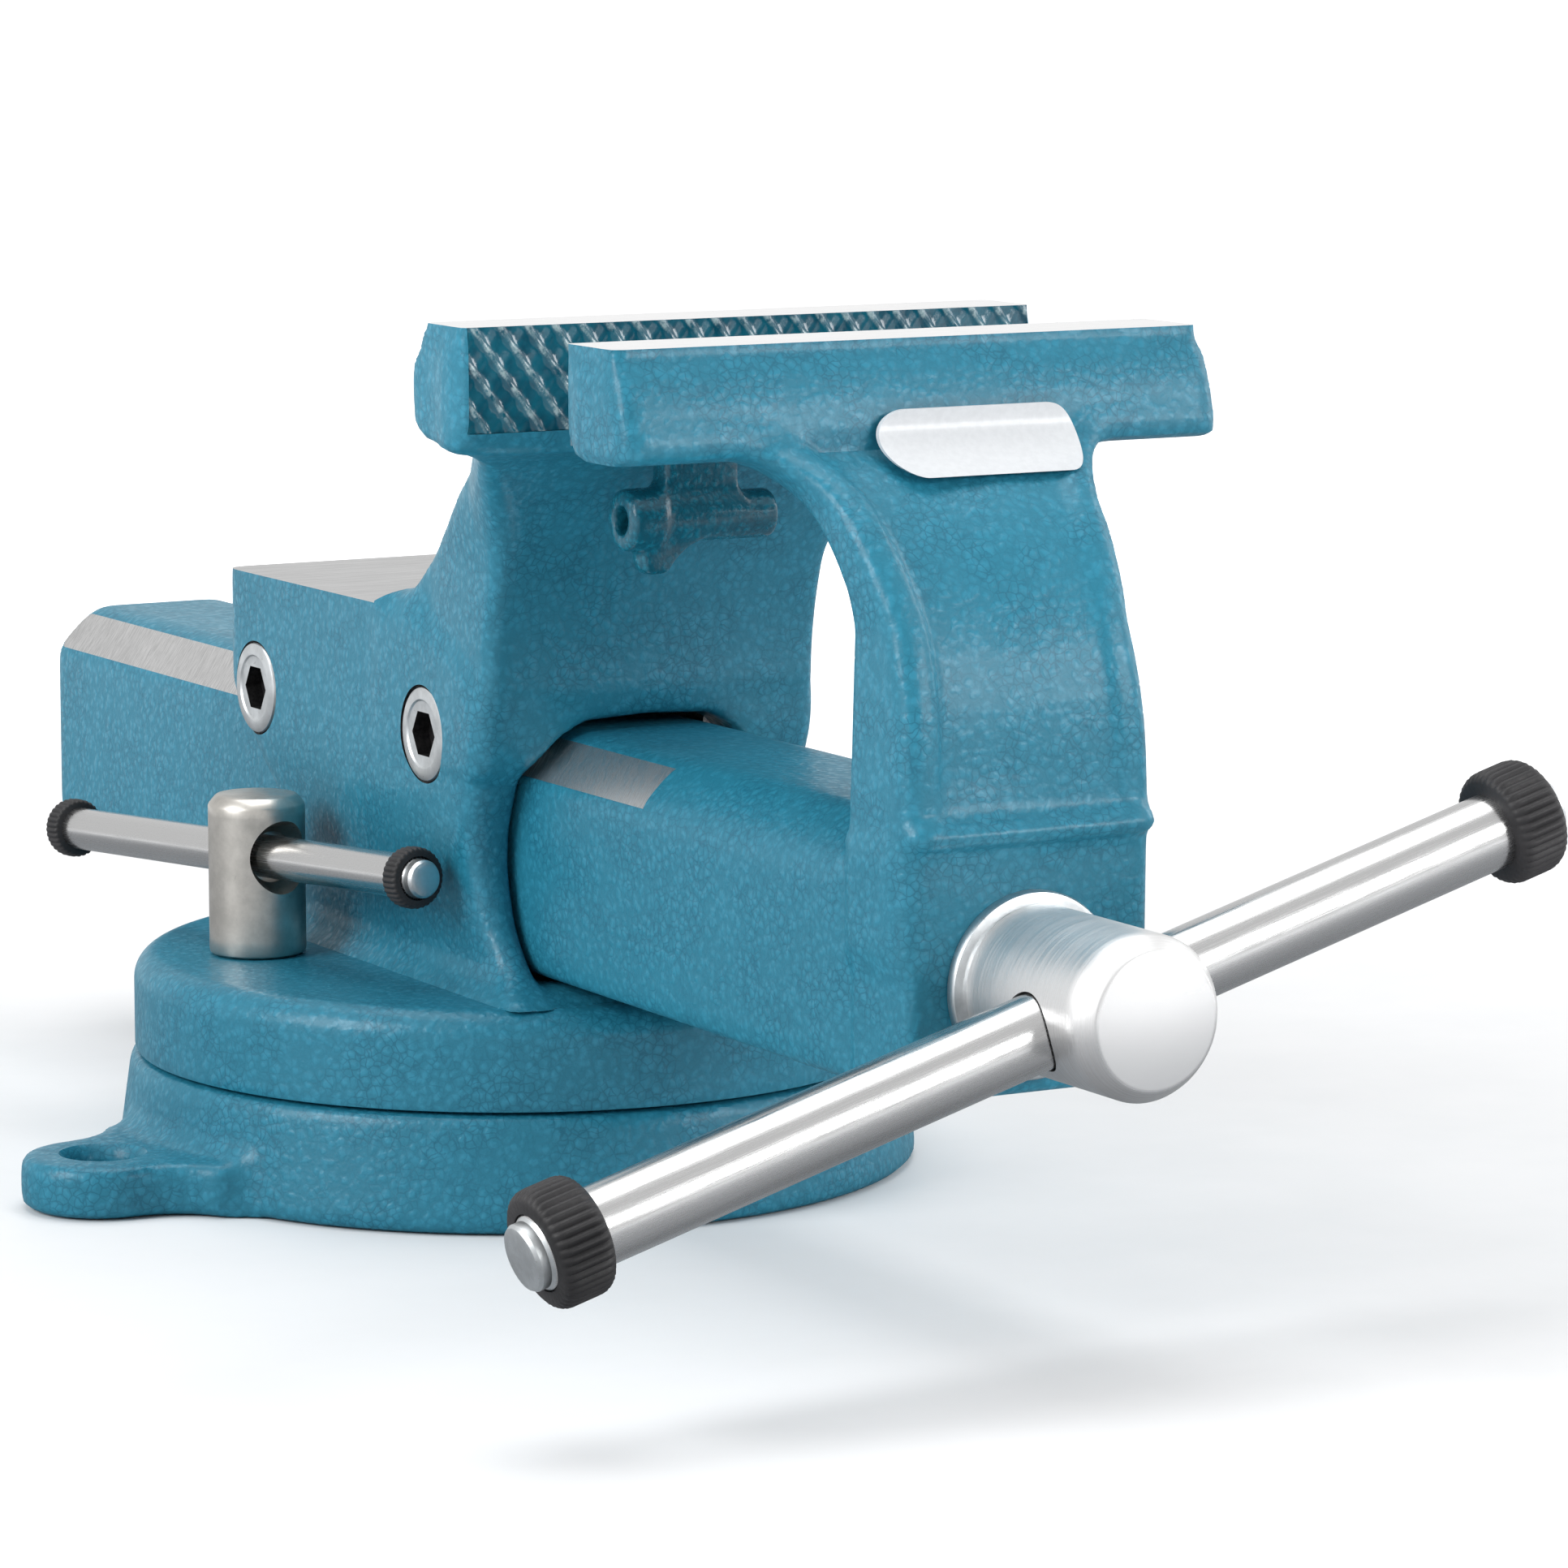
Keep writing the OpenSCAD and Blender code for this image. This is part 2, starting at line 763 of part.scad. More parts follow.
base_plate();
pivot_bolt();
pivot_washer();
swivel_disc();
clamp_nut();
vise_body();
disc_bolts();
guide_strip_left();
guide_strip_right();
guide_screws_left();
guide_screws_right();
spindle_nut();
nut_screw();
pipe_jaw_rear();
front_jaw();
pipe_jaw_front();
thrust_washer();
spindle();
retaining_collar();
collar_pin();
handle_bar();
handle_ring_left();
handle_ring_right();
lock_screw();
lock_bar();
lock_ring_front();
lock_ring_rear();
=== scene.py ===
"""Looks of the bench vise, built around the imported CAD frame.

Shapes are worked out in millimetres and turned into metres when a mesh is made. Forgings and castings are
signed distance fields on a grid. Turned parts are lathed profiles. Crisp cuts are booleans.
"""

import json
import math

import bmesh
import bpy
import numpy as np
from mathutils import Matrix, Vector
from mathutils.bvhtree import BVHTree


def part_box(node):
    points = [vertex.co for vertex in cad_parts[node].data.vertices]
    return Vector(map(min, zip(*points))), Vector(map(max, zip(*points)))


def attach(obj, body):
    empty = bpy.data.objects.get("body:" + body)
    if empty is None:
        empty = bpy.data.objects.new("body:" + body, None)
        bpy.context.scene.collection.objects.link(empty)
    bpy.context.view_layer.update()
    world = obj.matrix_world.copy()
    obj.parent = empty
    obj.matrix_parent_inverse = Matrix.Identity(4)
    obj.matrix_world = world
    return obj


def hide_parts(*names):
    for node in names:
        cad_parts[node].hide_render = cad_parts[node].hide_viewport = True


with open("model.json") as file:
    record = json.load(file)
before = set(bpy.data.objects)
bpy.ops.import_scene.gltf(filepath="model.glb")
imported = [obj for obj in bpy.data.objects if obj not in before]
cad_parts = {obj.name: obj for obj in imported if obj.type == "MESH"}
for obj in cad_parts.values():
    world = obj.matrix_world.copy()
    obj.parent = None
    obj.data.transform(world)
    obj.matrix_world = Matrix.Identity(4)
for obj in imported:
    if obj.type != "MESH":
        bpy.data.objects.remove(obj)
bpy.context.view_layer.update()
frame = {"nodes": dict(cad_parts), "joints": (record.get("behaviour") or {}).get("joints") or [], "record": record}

MM = 0.001
# Grid step of the forgings, in mm
STEP = 1.4


def box_mm(node):
    """Low and high corner of a CAD node, in mm."""
    lo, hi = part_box(node)
    return lo / MM, hi / MM


MOUNTS = {m["name"]: Vector(m["pos_m"]) / MM for m in frame["record"]["mounts"]}
JOINTS = {j["name"]: j for j in frame["joints"]}

# ---- stations taken from the frame, mm

BODY_HI = box_mm("vise_body")[1]
JAW_LO, JAW_HI = box_mm("front_jaw")
DISC_LO, DISC_HI = box_mm("swivel_disc")
HALF_JAW = BODY_HI.x
JAW_TOP = BODY_HI.z
FIXED_Y = MOUNTS["fixed_jaw_face"].y
MOVING_Y = MOUNTS["moving_jaw_face"].y
ANVIL_Z = MOUNTS["anvil_face"].z
BODY_REAR = BODY_HI.y
DISC_TOP = DISC_HI.z
SLIDE_REAR = JAW_HI.y
WASHER_LO, WASHER_HI = box_mm("thrust_washer")
BOSS_FACE = WASHER_HI.y
HEAD_Y = WASHER_LO.y
SPINDLE_Z = (WASHER_LO.z + WASHER_HI.z) / 2

# ---- shape values shared by several pieces, mm

# Heights of the jaw blocks
FIXED_JAW_H = 25.5
MOVING_JAW_H = 22.5
# Half width of the recesses for the gripping plates, the gap round the plates, depth and lower edges
GRIP_HALF = 69
GRIP_GAP = 0.1
GRIP_INSET = 0.8
GRIP_LOW_FRONT = JAW_TOP - 21
GRIP_LOW_REAR = JAW_TOP - 22.5
# Throat of the fixed jaw: height where its curve starts, depth and rise
THROAT_Z = 118
THROAT_DEPTH = 46
THROAT_RISE = 60
# Section of the slide
SLIDE_HALF = 28.5
SLIDE_Z = 53.5
SLIDE_TOP = 108.8
CHAMFER_Z = 98
CHAMFER = 7.8
# Half width of the body, and where its anvil begins behind the fixed jaw's face
BODY_HALF = 42
ANVIL_START = FIXED_Y + 103
# Radii of the boss's bore, the spindle's neck and the disc's hole for the pivot bolt
BOSS_BORE_R = 12.9
NECK_R = 12.5
PIVOT_R = 12.1
# How far a forging stands proud of a face that is cut flat, and how far a cutter reaches past it
OVER = 6
PAST = 9


# ---- solid fields on a grid

class Grid:
    """Points on a regular grid, in mm. Fields on it are signed distances, negative inside the solid."""

    def __init__(self, lo, hi, step):
        self.lo = np.array(lo, np.float32)
        self.step = step
        self.axes = [np.arange(a, b + step, step, dtype=np.float32) for a, b in zip(lo, hi)]
        self.x = self.axes[0][:, None, None]
        self.y = self.axes[1][None, :, None]
        self.z = self.axes[2][None, None, :]

    def side(self, points):
        """An outline in Y and Z, endless along X."""
        return outline(self.axes[1], self.axes[2], points)[None, :, :]

    def front(self, points):
        """An outline in X and Z, endless along Y."""
        return outline(self.axes[0], self.axes[2], points)[:, None, :]

    def plan(self, points):
        """An outline in X and Y, endless along Z."""
        return outline(self.axes[0], self.axes[1], points)[:, :, None]

    def soften(self, field, radius):
        """Rounds every edge of the field to about this radius, by repeated averaging."""
        spread = (radius / 1.93 / self.step) ** 2
        passes = max(1, math.ceil(spread / 0.66))
        share = np.float32(spread / passes / 2)
        for _ in range(passes):
            for axis in range(3):
                f = np.moveaxis(field, axis, 0)
                g = f.copy()
                g[1:-1] += share * (f[2:] + f[:-2] - 2 * f[1:-1])
                field = np.moveaxis(g, 0, axis)
        return field


def outline(u, v, points):
    """Signed distance from each point of the plane grid u by v to a closed outline."""
    p = np.asarray(points, np.float64)
    gu, gv = np.meshgrid(u.astype(float), v.astype(float), indexing="ij")
    near = np.full(gu.shape, 1e12)
    inside = np.zeros(gu.shape, bool)
    for (ax, ay), (bx, by) in zip(p, np.roll(p, -1, axis=0)):
        ex, ey = bx - ax, by - ay
        wx, wy = gu - ax, gv - ay
        t = np.clip((wx * ex + wy * ey) / max(ex * ex + ey * ey, 1e-12), 0, 1)
        near = np.minimum(near, (wx - ex * t) ** 2 + (wy - ey * t) ** 2)
        if ay != by:
            inside ^= ((ay > gv) != (by > gv)) & (gu < ex * (gv - ay) / ey + ax)
    return (np.where(inside, -1, 1) * np.sqrt(near)).astype(np.float32)


def join(a, b, r):
    """Union with a concave fillet of radius r."""
    return np.maximum(r, np.minimum(a, b)) - np.hypot(np.maximum(r - a, 0), np.maximum(r - b, 0))


def meet(a, b, r):
    """Intersection with a rounded edge of radius r."""
    return np.minimum(-r, np.maximum(a, b)) + np.hypot(np.maximum(r + a, 0), np.maximum(r + b, 0))


def carve(a, b, r):
    """a without b, with a rounded edge of radius r."""
    return meet(a, -b, r)


def arc(cu, cv, ru, rv, a0, a1, n=14):
    """Points on an ellipse from angle a0 to a1, in degrees."""
    turn = [math.radians(a0 + (a1 - a0) * i / n) for i in range(n + 1)]
    return [(cu + ru * math.cos(a), cv + rv * math.sin(a)) for a in turn]


def both_sides(half):
    """A half outline with its mirror image."""
    return list(half) + [(-u, v) for u, v in reversed(half)]


def skin(grid, field):
    """Vertices and quads of the field's zero surface (surface nets)."""
    field = np.ascontiguousarray(np.broadcast_to(field, [len(a) for a in grid.axes]), np.float32)
    solid = field < 0
    corner = [(i, j, k) for i in (0, 1) for j in (0, 1) for k in (0, 1)]
    size = np.array(field.shape) - 1

    def shifted(array, c):
        return array[c[0]:c[0] + size[0], c[1]:c[1] + size[1], c[2]:c[2] + size[2]]

    count = sum(shifted(solid, c).astype(np.int8) for c in corner)
    cells = np.argwhere((count > 0) & (count < 8))
    number = np.full(size, -1, np.int64)
    number[tuple(cells.T)] = np.arange(len(cells))
    total = np.zeros((len(cells), 3))
    hits = np.zeros(len(cells))
    for a in corner:
        for axis in range(3):
            if a[axis]:
                continue
            b = list(a)
            b[axis] = 1
            fa = field[tuple((cells + a).T)].astype(float)
            fb = field[tuple((cells + b).T)].astype(float)
            cross = (fa < 0) != (fb < 0)
            t = np.where(cross, fa / np.where(cross, fa - fb, 1), 0)
            point = np.tile(np.array(a, float), (len(cells), 1))
            point[:, axis] = t
            total[cross] += point[cross]
            hits += cross
    verts = grid.lo + grid.step * (cells + total / hits[:, None])
    quads = []
    for axis in range(3):
        u, v = [(1, 2), (2, 0), (0, 1)][axis]
        step = [0, 0, 0]
        step[axis] = 1
        lead = [slice(1, s) for s in size]
        lead[axis] = slice(0, size[axis])
        ahead = [slice(s.start + d, s.stop + d) for s, d in zip(lead, step)]
        first, second = solid[tuple(lead)], solid[tuple(ahead)]
        at = np.argwhere(first != second) + [s.start for s in lead]
        out = solid[tuple(at.T)]
        du, dv = np.eye(3, dtype=int)[u], np.eye(3, dtype=int)[v]
        ring = [number[tuple((at - d).T)] for d in (du + dv, dv, 0 * du, du)]
        quad = np.stack(ring, 1)
        quads.append(np.where(out[:, None], quad, quad[:, ::-1]))
    return verts, np.concatenate(quads)


# ---- meshes from points and outlines, mm in

def piece(name, verts, faces, materials):
    """An object with this mesh. verts are in mm."""
    mesh = bpy.data.meshes.new(name)
    verts = np.asarray(verts, float) * MM
    if isinstance(faces, np.ndarray):
        faces = faces.tolist()
    mesh.from_pydata(verts.tolist(), [], faces)
    for m in materials:
        mesh.materials.append(m)
    mesh.update()
    obj = bpy.data.objects.new(name, mesh)
    bpy.context.scene.collection.objects.link(obj)
    return obj


def smooth(obj, degrees=35):
    """Smooth shading, with creases kept where the faces meet at more than this angle."""
    obj.data.shade_smooth()
    obj.data.set_sharp_from_angle(angle=math.radians(degrees))
    return obj


def forging(name, grid, field, materials):
    verts, quads = skin(grid, field)
    return piece(name, verts, quads, materials)


def prism(points, axis, lo, hi):
    """A solid with this outline, standing along an axis: x (outline in Y, Z), y (X, Z) or z (X, Y)."""
    n = len(points)
    verts = []
    for h in (lo, hi):
        for u, v in points:
            verts.append({"x": (h, u, v), "y": (u, h, v), "z": (u, v, h)}[axis])
    faces = [list(range(n))[::-1], list(range(n, 2 * n))]
    faces += [[i, (i + 1) % n, n + (i + 1) % n, n + i] for i in range(n)]
    obj = piece("cutter", verts, faces, [])
    return closed_out(obj)


def block(lo, hi):
    (x0, y0, z0), (x1, y1, z1) = lo, hi
    return prism([(x0, y0), (x1, y0), (x1, y1), (x0, y1)], "z", z0, z1)


def closed_out(obj):
    """Turns a closed mesh's faces outwards."""
    bm = bmesh.new()
    bm.from_mesh(obj.data)
    bmesh.ops.recalc_face_normals(bm, faces=bm.faces)
    bm.to_mesh(obj.data)
    bm.free()
    return obj


def lathe(name, profile, materials, segments=96, place=None, closed=False, ripple=None):
    """Turns (radius, height) pairs about Z.

    ripple(angles, radius) gives a scale for each point of a ring, and place moves the result.
    """
    angles = np.arange(segments) * 2 * math.pi / segments
    profile = np.array(profile, float)
    rows = []
    verts = []
    for r, h in profile:
        if r < 1e-6:
            rows.append([len(verts)] * segments)
            verts.append((0, 0, h))
            continue
        scale = ripple(angles, r) if ripple else np.ones(segments)
        rows.append(list(range(len(verts), len(verts) + segments)))
        verts += [(r * s * math.cos(a), r * s * math.sin(a), h) for a, s in zip(angles, scale)]
    faces = []
    pairs = list(zip(rows, rows[1:])) + ([(rows[-1], rows[0])] if closed else [])
    for low, high in pairs:
        for i in range(segments):
            j = (i + 1) % segments
            ring = [low[i], low[j], high[j], high[i]]
            face = [v for k, v in enumerate(ring) if v != ring[k - 1]]
            if len(face) > 2:
                faces.append(face)
    obj = piece(name, verts, faces, materials)
    closed_out(obj)
    if place is not None:
        obj.data.transform(place)
    return obj


def moved(x=0, y=0, z=0):
    """Matrix of a move, in mm."""
    return Matrix.Translation(Vector((x, y, z)) * MM)


def turned(degrees, axis):
    return Matrix.Rotation(math.radians(degrees), 4, axis)


ALONG_Y = turned(-90, "X")
ALONG_X = turned(90, "Y")


def cut(obj, cutters, index=0):
    """Exact boolean with each cutter. The cut faces take the material slot index."""
    for tool in cutters:
        for m in obj.data.materials:
            tool.data.materials.append(m)
        tool.data.polygons.foreach_set("material_index", [index] * len(tool.data.polygons))
        mod = obj.modifiers.new("cut", "BOOLEAN")
        mod.operation = "DIFFERENCE"
        mod.solver = "MANIFOLD"
        mod.object = tool
        bpy.context.view_layer.update()
        done = bpy.data.meshes.new_from_object(obj.evaluated_get(bpy.context.evaluated_depsgraph_get()))
        if not len(done.polygons):
            raise RuntimeError(f"the boolean on {obj.name} left nothing")
        obj.modifiers.clear()
        old = obj.data
        obj.data = done
        bpy.data.meshes.remove(old)
        bpy.data.objects.remove(tool)
    return obj


# ---- materials

class Nodes:
    """A Principled material with short calls for its nodes."""

    def __init__(self, name, **values):
        self.material = bpy.data.materials.new(name)
        self.material.use_nodes = True
        self.tree = self.material.node_tree
        self.shader = self.tree.nodes["Principled BSDF"]
        for key, value in values.items():
            self.shader.inputs[key.replace("_", " ")].default_value = value
        self.where = self.tree.nodes.new("ShaderNodeTexCoord").outputs["Object"]

    def add(self, kind, **values):
        node = self.tree.nodes.new("ShaderNode" + kind)
        for key, value in values.items():
            if hasattr(node, key):
                setattr(node, key, value)
            else:
                self.put(node, key, value)
        return node

    def put(self, node, key, value):
        """Links or sets a socket. key is its name, or i and its number."""
        by_number = key[0] == "i" and key[1:].isdigit()
        socket = node.inputs[int(key[1:])] if by_number else node.inputs[key]
        if isinstance(value, bpy.types.NodeSocket):
            self.tree.links.new(value, socket)
        else:
            socket.default_value = value

    def stretch(self, scale, turn=(0, 0, 0)):
        """Turns the pattern, then packs it tighter along each axis by scale."""
        packed = [1 / k for k in scale]
        node = self.add("Mapping", vector_type="TEXTURE", Vector=self.where, Scale=packed, Rotation=turn)
        return node.outputs["Vector"]

    def noise(self, scale, detail=3, rough=0.55, where=None):
        node = self.add("TexNoise", Vector=where or self.where, Scale=scale, Detail=detail, Roughness=rough)
        return node.outputs["Fac"]

    def ramp(self, value, low=0.3, high=0.7, to_low=0.0, to_high=1.0):
        """Maps low..high to to_low..to_high, with soft ends."""
        ends = {"Value": value, "From Min": low, "From Max": high, "To Min": to_low, "To Max": to_high}
        return self.add("MapRange", interpolation_type="SMOOTHSTEP", **ends).outputs["Result"]

    def math(self, kind, a, b):
        return self.add("Math", operation=kind, i0=a, i1=b).outputs[0]

    def mix(self, share, a, b):
        return self.add("Mix", data_type="RGBA", i0=share, i6=a, i7=b).outputs[2]

    def bump(self, height, strength, distance, under=None):
        node = self.add("Bump", Strength=strength, Distance=distance, Height=height)
        if under is not None:
            self.put(node, "Normal", under)
        return node.outputs["Normal"]

    def drive(self, **sockets):
        """Puts values or links into the shader and gives the finished material."""
        for key, value in sockets.items():
            self.put(self.shader, key.replace("_", " "), value)
        return self.material


def rgb(r, g, b):
    """Linear colour of an sRGB triple from 0 to 255."""
    line = [c / 255 / 12.92 if c <= 10 else ((c / 255 + 0.055) / 1.055) ** 2.4 for c in (r, g, b)]
    return (*line, 1)


def enamel(name="hammered_enamel", light=(44, 128, 154), body=(32, 114, 138), vein=(14, 86, 110), cell=2.0,
           rough=0.36, coat=0.10):
    """Hammered enamel: small soft domes, with darker veins between them."""
    m = Nodes(name, Coat_Weight=coat, Coat_Roughness=0.16, Specular_IOR_Level=0.32)
    wobble = m.add("TexNoise", Vector=m.where, Scale=300, Detail=3).outputs["Color"]
    pushed = m.add("VectorMath", operation="MULTIPLY_ADD", i0=wobble, i1=(0.0022,) * 3, i2=m.where)

    def voronoi(feature, size):
        node = m.add("TexVoronoi", feature=feature, Vector=pushed.outputs[0], Scale=1 / (size * MM))
        return node.outputs["Distance"]

    dome = m.ramp(voronoi("SMOOTH_F1", cell), 0.55, 0.12)
    small = m.ramp(voronoi("SMOOTH_F1", cell * 0.5), 0.55, 0.12)
    edge = m.ramp(voronoi("DISTANCE_TO_EDGE", cell), 0.0, 0.12)
    patch = m.ramp(m.noise(75, 3), 0.35, 0.65)
    cloud = m.noise(420, 3, 0.6)
    height = m.math("ADD", m.math("MULTIPLY", dome, 0.75), m.math("MULTIPLY", small, 0.25))
    shade = m.math("ADD", m.math("MULTIPLY", height, 0.6), m.math("MULTIPLY", m.ramp(cloud), 0.4))
    line = m.math("SUBTRACT", 1.0, edge)
    vein_line = m.math("SUBTRACT", 1.0, m.math("MULTIPLY", line, m.ramp(patch, 0, 1, 0.12, 0.6)))
    broad = m.ramp(m.noise(10, 3), 0.3, 0.7, 0.94, 1.05)
    colour = m.mix(m.ramp(shade, 0.15, 0.85), rgb(*body), rgb(*light))
    colour = m.mix(vein_line, rgb(*vein), colour)
    toned = m.add("HueSaturation", Value=broad, Color=colour)
    waves = m.bump(m.noise(38, 2), 0.25, 0.0011)
    return m.drive(
        Base_Color=toned.outputs["Color"],
        Roughness=m.ramp(shade, 0, 1, rough + 0.1, rough - 0.04),
        Normal=m.bump(height, 0.55, 0.00022, waves),
    )


def grip_enamel(name, face_y, direction):
    """Gloss enamel on a gripping plate. Its dark colour is painted shade between the jaws, and its pale ridge tops
    are partly worn paint, partly a painted highlight.
    """
    m = Nodes(name + "_enamel", Coat_Weight=0.5, Coat_Roughness=0.08)
    across = m.add("SeparateXYZ", Vector=m.where).outputs["Y"]
    down = m.math("MULTIPLY", m.math("SUBTRACT", across, face_y * MM), direction / MM)
    top = m.ramp(down, 0.36, 0.04)
    # Ridge tops turn pale: partly wear, partly a painted highlight
    worn_and_highlit = m.math("MULTIPLY", top, m.ramp(m.noise(420, 4, 0.6), 0.36, 0.62))
    # Dark teal base colour: painted shade between the jaws
    base = m.mix(m.ramp(m.noise(240, 3)), rgb(6, 74, 94), rgb(16, 98, 118))
    fine = m.noise(1100, 3)
    return m.drive(
        Base_Color=m.mix(worn_and_highlit, base, rgb(158, 182, 186)),
        Roughness=m.ramp(worn_and_highlit, 0, 1, 0.22, 0.36),
        Normal=m.bump(fine, 0.3, 0.0001),
    )


def steel(name, shade, rough, stretch=(1, 1, 1), turn=(0, 0, 0), grain=900, depth=0.25, contrast=0.7,
          tone=(1, 1, 1)):
    """Bare metal with lines left by the tool. stretch is small along the lines."""
    m = Nodes(name, Metallic=1.0)
    where = m.stretch(stretch, turn)
    lines = m.noise(grain, 4, 0.7, where)
    broad = m.noise(22, 3)
    dark = rgb(*[shade * (1 - 0.16 * contrast) * t for t in tone])
    light = rgb(*[min(255, shade * (1 + 0.08 * contrast) * t) for t in tone])
    share = m.math("ADD", m.math("MULTIPLY", m.ramp(lines), 0.75), m.math("MULTIPLY", broad, 0.25))
    colour = m.mix(share, dark, light)
    return m.drive(
        Base_Color=colour,
        Roughness=m.ramp(share, 0.2, 0.9, rough + 0.07, rough - 0.05),
        Normal=m.bump(lines, depth, 0.00004),
    )


def plated(name, shade, rough, tone, spots=0.35):
    """Zinc or nickel plate: cloudy, with small dark specks."""
    m = Nodes(name, Metallic=1.0)
    cloud = m.noise(160, 5, 0.65)
    fine = m.noise(1500, 3, 0.6)
    dark = rgb(*[shade * 0.88 * t for t in tone])
    light = rgb(*[shade * t for t in tone])
    colour = m.mix(m.ramp(cloud), dark, light)
    speck = m.ramp(m.noise(600, 3, 0.6), 0.67, 0.75)
    colour = m.mix(m.math("MULTIPLY", speck, spots), colour, rgb(84, 80, 76))
    return m.drive(
        Base_Color=colour,
        Roughness=m.ramp(cloud, 0.3, 0.75, rough + 0.06, rough - 0.04),
        Normal=m.bump(fine, 0.2, 0.00004),
    )


def rubber():
    """Matt black rubber of the rings."""
    m = Nodes("black_rubber", Specular_IOR_Level=0.4)
    fine = m.noise(1400, 4, 0.65)
    broad = m.noise(60, 3)
    colour = m.mix(m.ramp(broad), rgb(26, 26, 28), rgb(46, 45, 47))
    return m.drive(
        Base_Color=colour,
        Roughness=m.ramp(fine, 0.3, 0.7, 0.62, 0.5),
        Normal=m.bump(fine, 0.35, 0.00008),
    )


def black_steel_and_bore_shade():
    """Blackened screws and bolts. Also laid on the walls of bores, holes, pockets and sockets as painted shade."""
    m = Nodes("black_oxide", Metallic=0.7)
    fine = m.noise(900, 4, 0.6)
    colour = m.mix(m.ramp(fine), rgb(30, 30, 32), rgb(58, 57, 58))
    rough = m.ramp(fine, 0.3, 0.7, 0.5, 0.38)
    return m.drive(Base_Color=colour, Roughness=rough, Normal=m.bump(fine, 0.2, 0.00005))


def label_white():
    """Smooth white of the plain badge."""
    m = Nodes("label_white", Coat_Weight=0.3, Coat_Roughness=0.15)
    fine = m.noise(700, 3)
    colour = m.mix(m.ramp(fine), rgb(206, 209, 212), rgb(212, 215, 218))
    return m.drive(Base_Color=colour, Roughness=m.ramp(fine, 0.3, 0.7, 0.42, 0.34))


def floor_white():
    """Pale floor. Far from the vise it glows a little, to meet the background without a horizon. In reflections it
    shows grey, a painted darker reflection on the metal parts.
    """
    m = Nodes("floor_white", Specular_IOR_Level=0.2)
    fine = m.noise(30, 3)
    reach = m.add("VectorMath", operation="LENGTH", i0=m.where).outputs["Value"]
    glow = m.ramp(reach, 0.3, 1.2, 0.0, 0.75)
    # Grey in glossy rays only: a painted darker reflection on the metal parts
    seen = m.math("SUBTRACT", 1.0, m.add("LightPath").outputs["Is Glossy Ray"])
    pale = m.mix(fine, rgb(240, 241, 242), rgb(247, 247, 248))
    return m.drive(
        Base_Color=m.mix(seen, rgb(150, 152, 155), pale),
        Roughness=m.ramp(fine, 0.2, 0.8, 0.6, 0.5),
        Emission_Color=(1, 1, 1, 1),
        Emission_Strength=glow,
    )


ENAMEL = enamel()
# A darker, glossier copy of the enamel for the grip recesses and the pipe jaws: its darker colours are painted
# shade
GLOSS_SHADED_ENAMEL = enamel("shaded_recess_enamel", (26, 112, 134), (12, 88, 108), (6, 66, 84), 1.5, 0.24, 0.35)
JAW_STEEL = steel("milled_steel", 236, 0.40, stretch=(0.02, 1, 1), grain=2600, depth=0.1, contrast=0.4)
ANVIL_STEEL = steel("ground_steel", 192, 0.42, stretch=(0.02, 1, 1), grain=2600, depth=0.3, contrast=1.0)
STRIP_STEEL = steel("brushed_strip", 205, 0.38, stretch=(0.03, 1, 1), turn=(0, -0.785, 0.6), grain=2600,
                    depth=0.3, contrast=1.1)
TURNED_STEEL = steel("turned_steel", 226, 0.42, stretch=(0.02, 1, 0.02), grain=2600, depth=0.1, contrast=0.45)
BAR_STEEL = steel("polished_bar", 204, 0.22, stretch=(0.02, 1, 1), grain=3400, depth=0.02, contrast=0.18)
FACE_STEEL = steel("polished_face", 240, 0.28, grain=12, depth=0.01, contrast=0.1)
LOCK_STEEL = plated("satin_nickel", 200, 0.34, tone=(1, 0.985, 0.955), spots=0.25)
ZINC = plated("zinc_plate", 222, 0.36, tone=(0.97, 0.99, 1.0))
OXIDE_AND_BORE_SHADE = black_steel_and_bore_shade()
RUBBER = rubber()
LABEL = label_white()


# ---- forgings

# End outlines of the jaw blocks: depth behind the gripping face, and height from the jaw top. The first two
# points stand OVER mm too high, for the flat cut.
FIXED_JAW = [(0, OVER), (18.5, OVER), (18.7, -0.3), (21.3, -1.4), (22.2, -5.0), (25.2, -7.6), (26.3, -10.5),
             (26.3, -17), (25.2, -22.8), (20.5, -FIXED_JAW_H), (5, -FIXED_JAW_H), (0, -FIXED_JAW_H + 4)]
MOVING_JAW = [(0, OVER), (21, OVER), (21.2, -0.3), (21.9, -4.8), (23.4, -5.6), (24.8, -9), (25.7, -12),
              (26.4, -18), (25.0, -21.6), (20, -MOVING_JAW_H), (5, -MOVING_JAW_H), (0, -MOVING_JAW_H + 4)]


def jaw_block(g, outline_points, direction, face_y):
    """Field of a jaw block. direction is the sign of Y behind its gripping face."""
    ends = g.side([(face_y + direction * d, JAW_TOP + z) for d, z in outline_points])
    return g.soften(np.maximum(ends, np.abs(g.x) - HALF_JAW), 1.5)


def upright_front(foot, waist, z0, z1, z2, low, r, spread=0):
    """Outline of an upright seen from the front. r is the radius below the jaw."""
    centre = foot + spread + r
    end = math.degrees(math.acos(min(0, (HALF_JAW - centre) / r)))
    half = [(foot, z0), (foot, z1), (waist, z2)] + arc(centre, low - r, r, r, 180, end)
    half += [(HALF_JAW, low), (HALF_JAW, JAW_TOP)]
    return both_sides(half)


def behind(direction, face_y, pairs):
    """Turns pairs of depth behind a gripping face and height into Y and Z."""
    return [(face_y + direction * d, z) for d, z in pairs]


def slide_outline(corner):
    """Section of the slide in X and Z. corner is how far paint builds the chamfer up."""
    h = SLIDE_HALF
    return both_sides([(h, SLIDE_Z), (h, CHAMFER_Z + corner), (h - CHAMFER + corner, CHAMFER_Z + CHAMFER),
                       (h - CHAMFER - 4, SLIDE_TOP)])


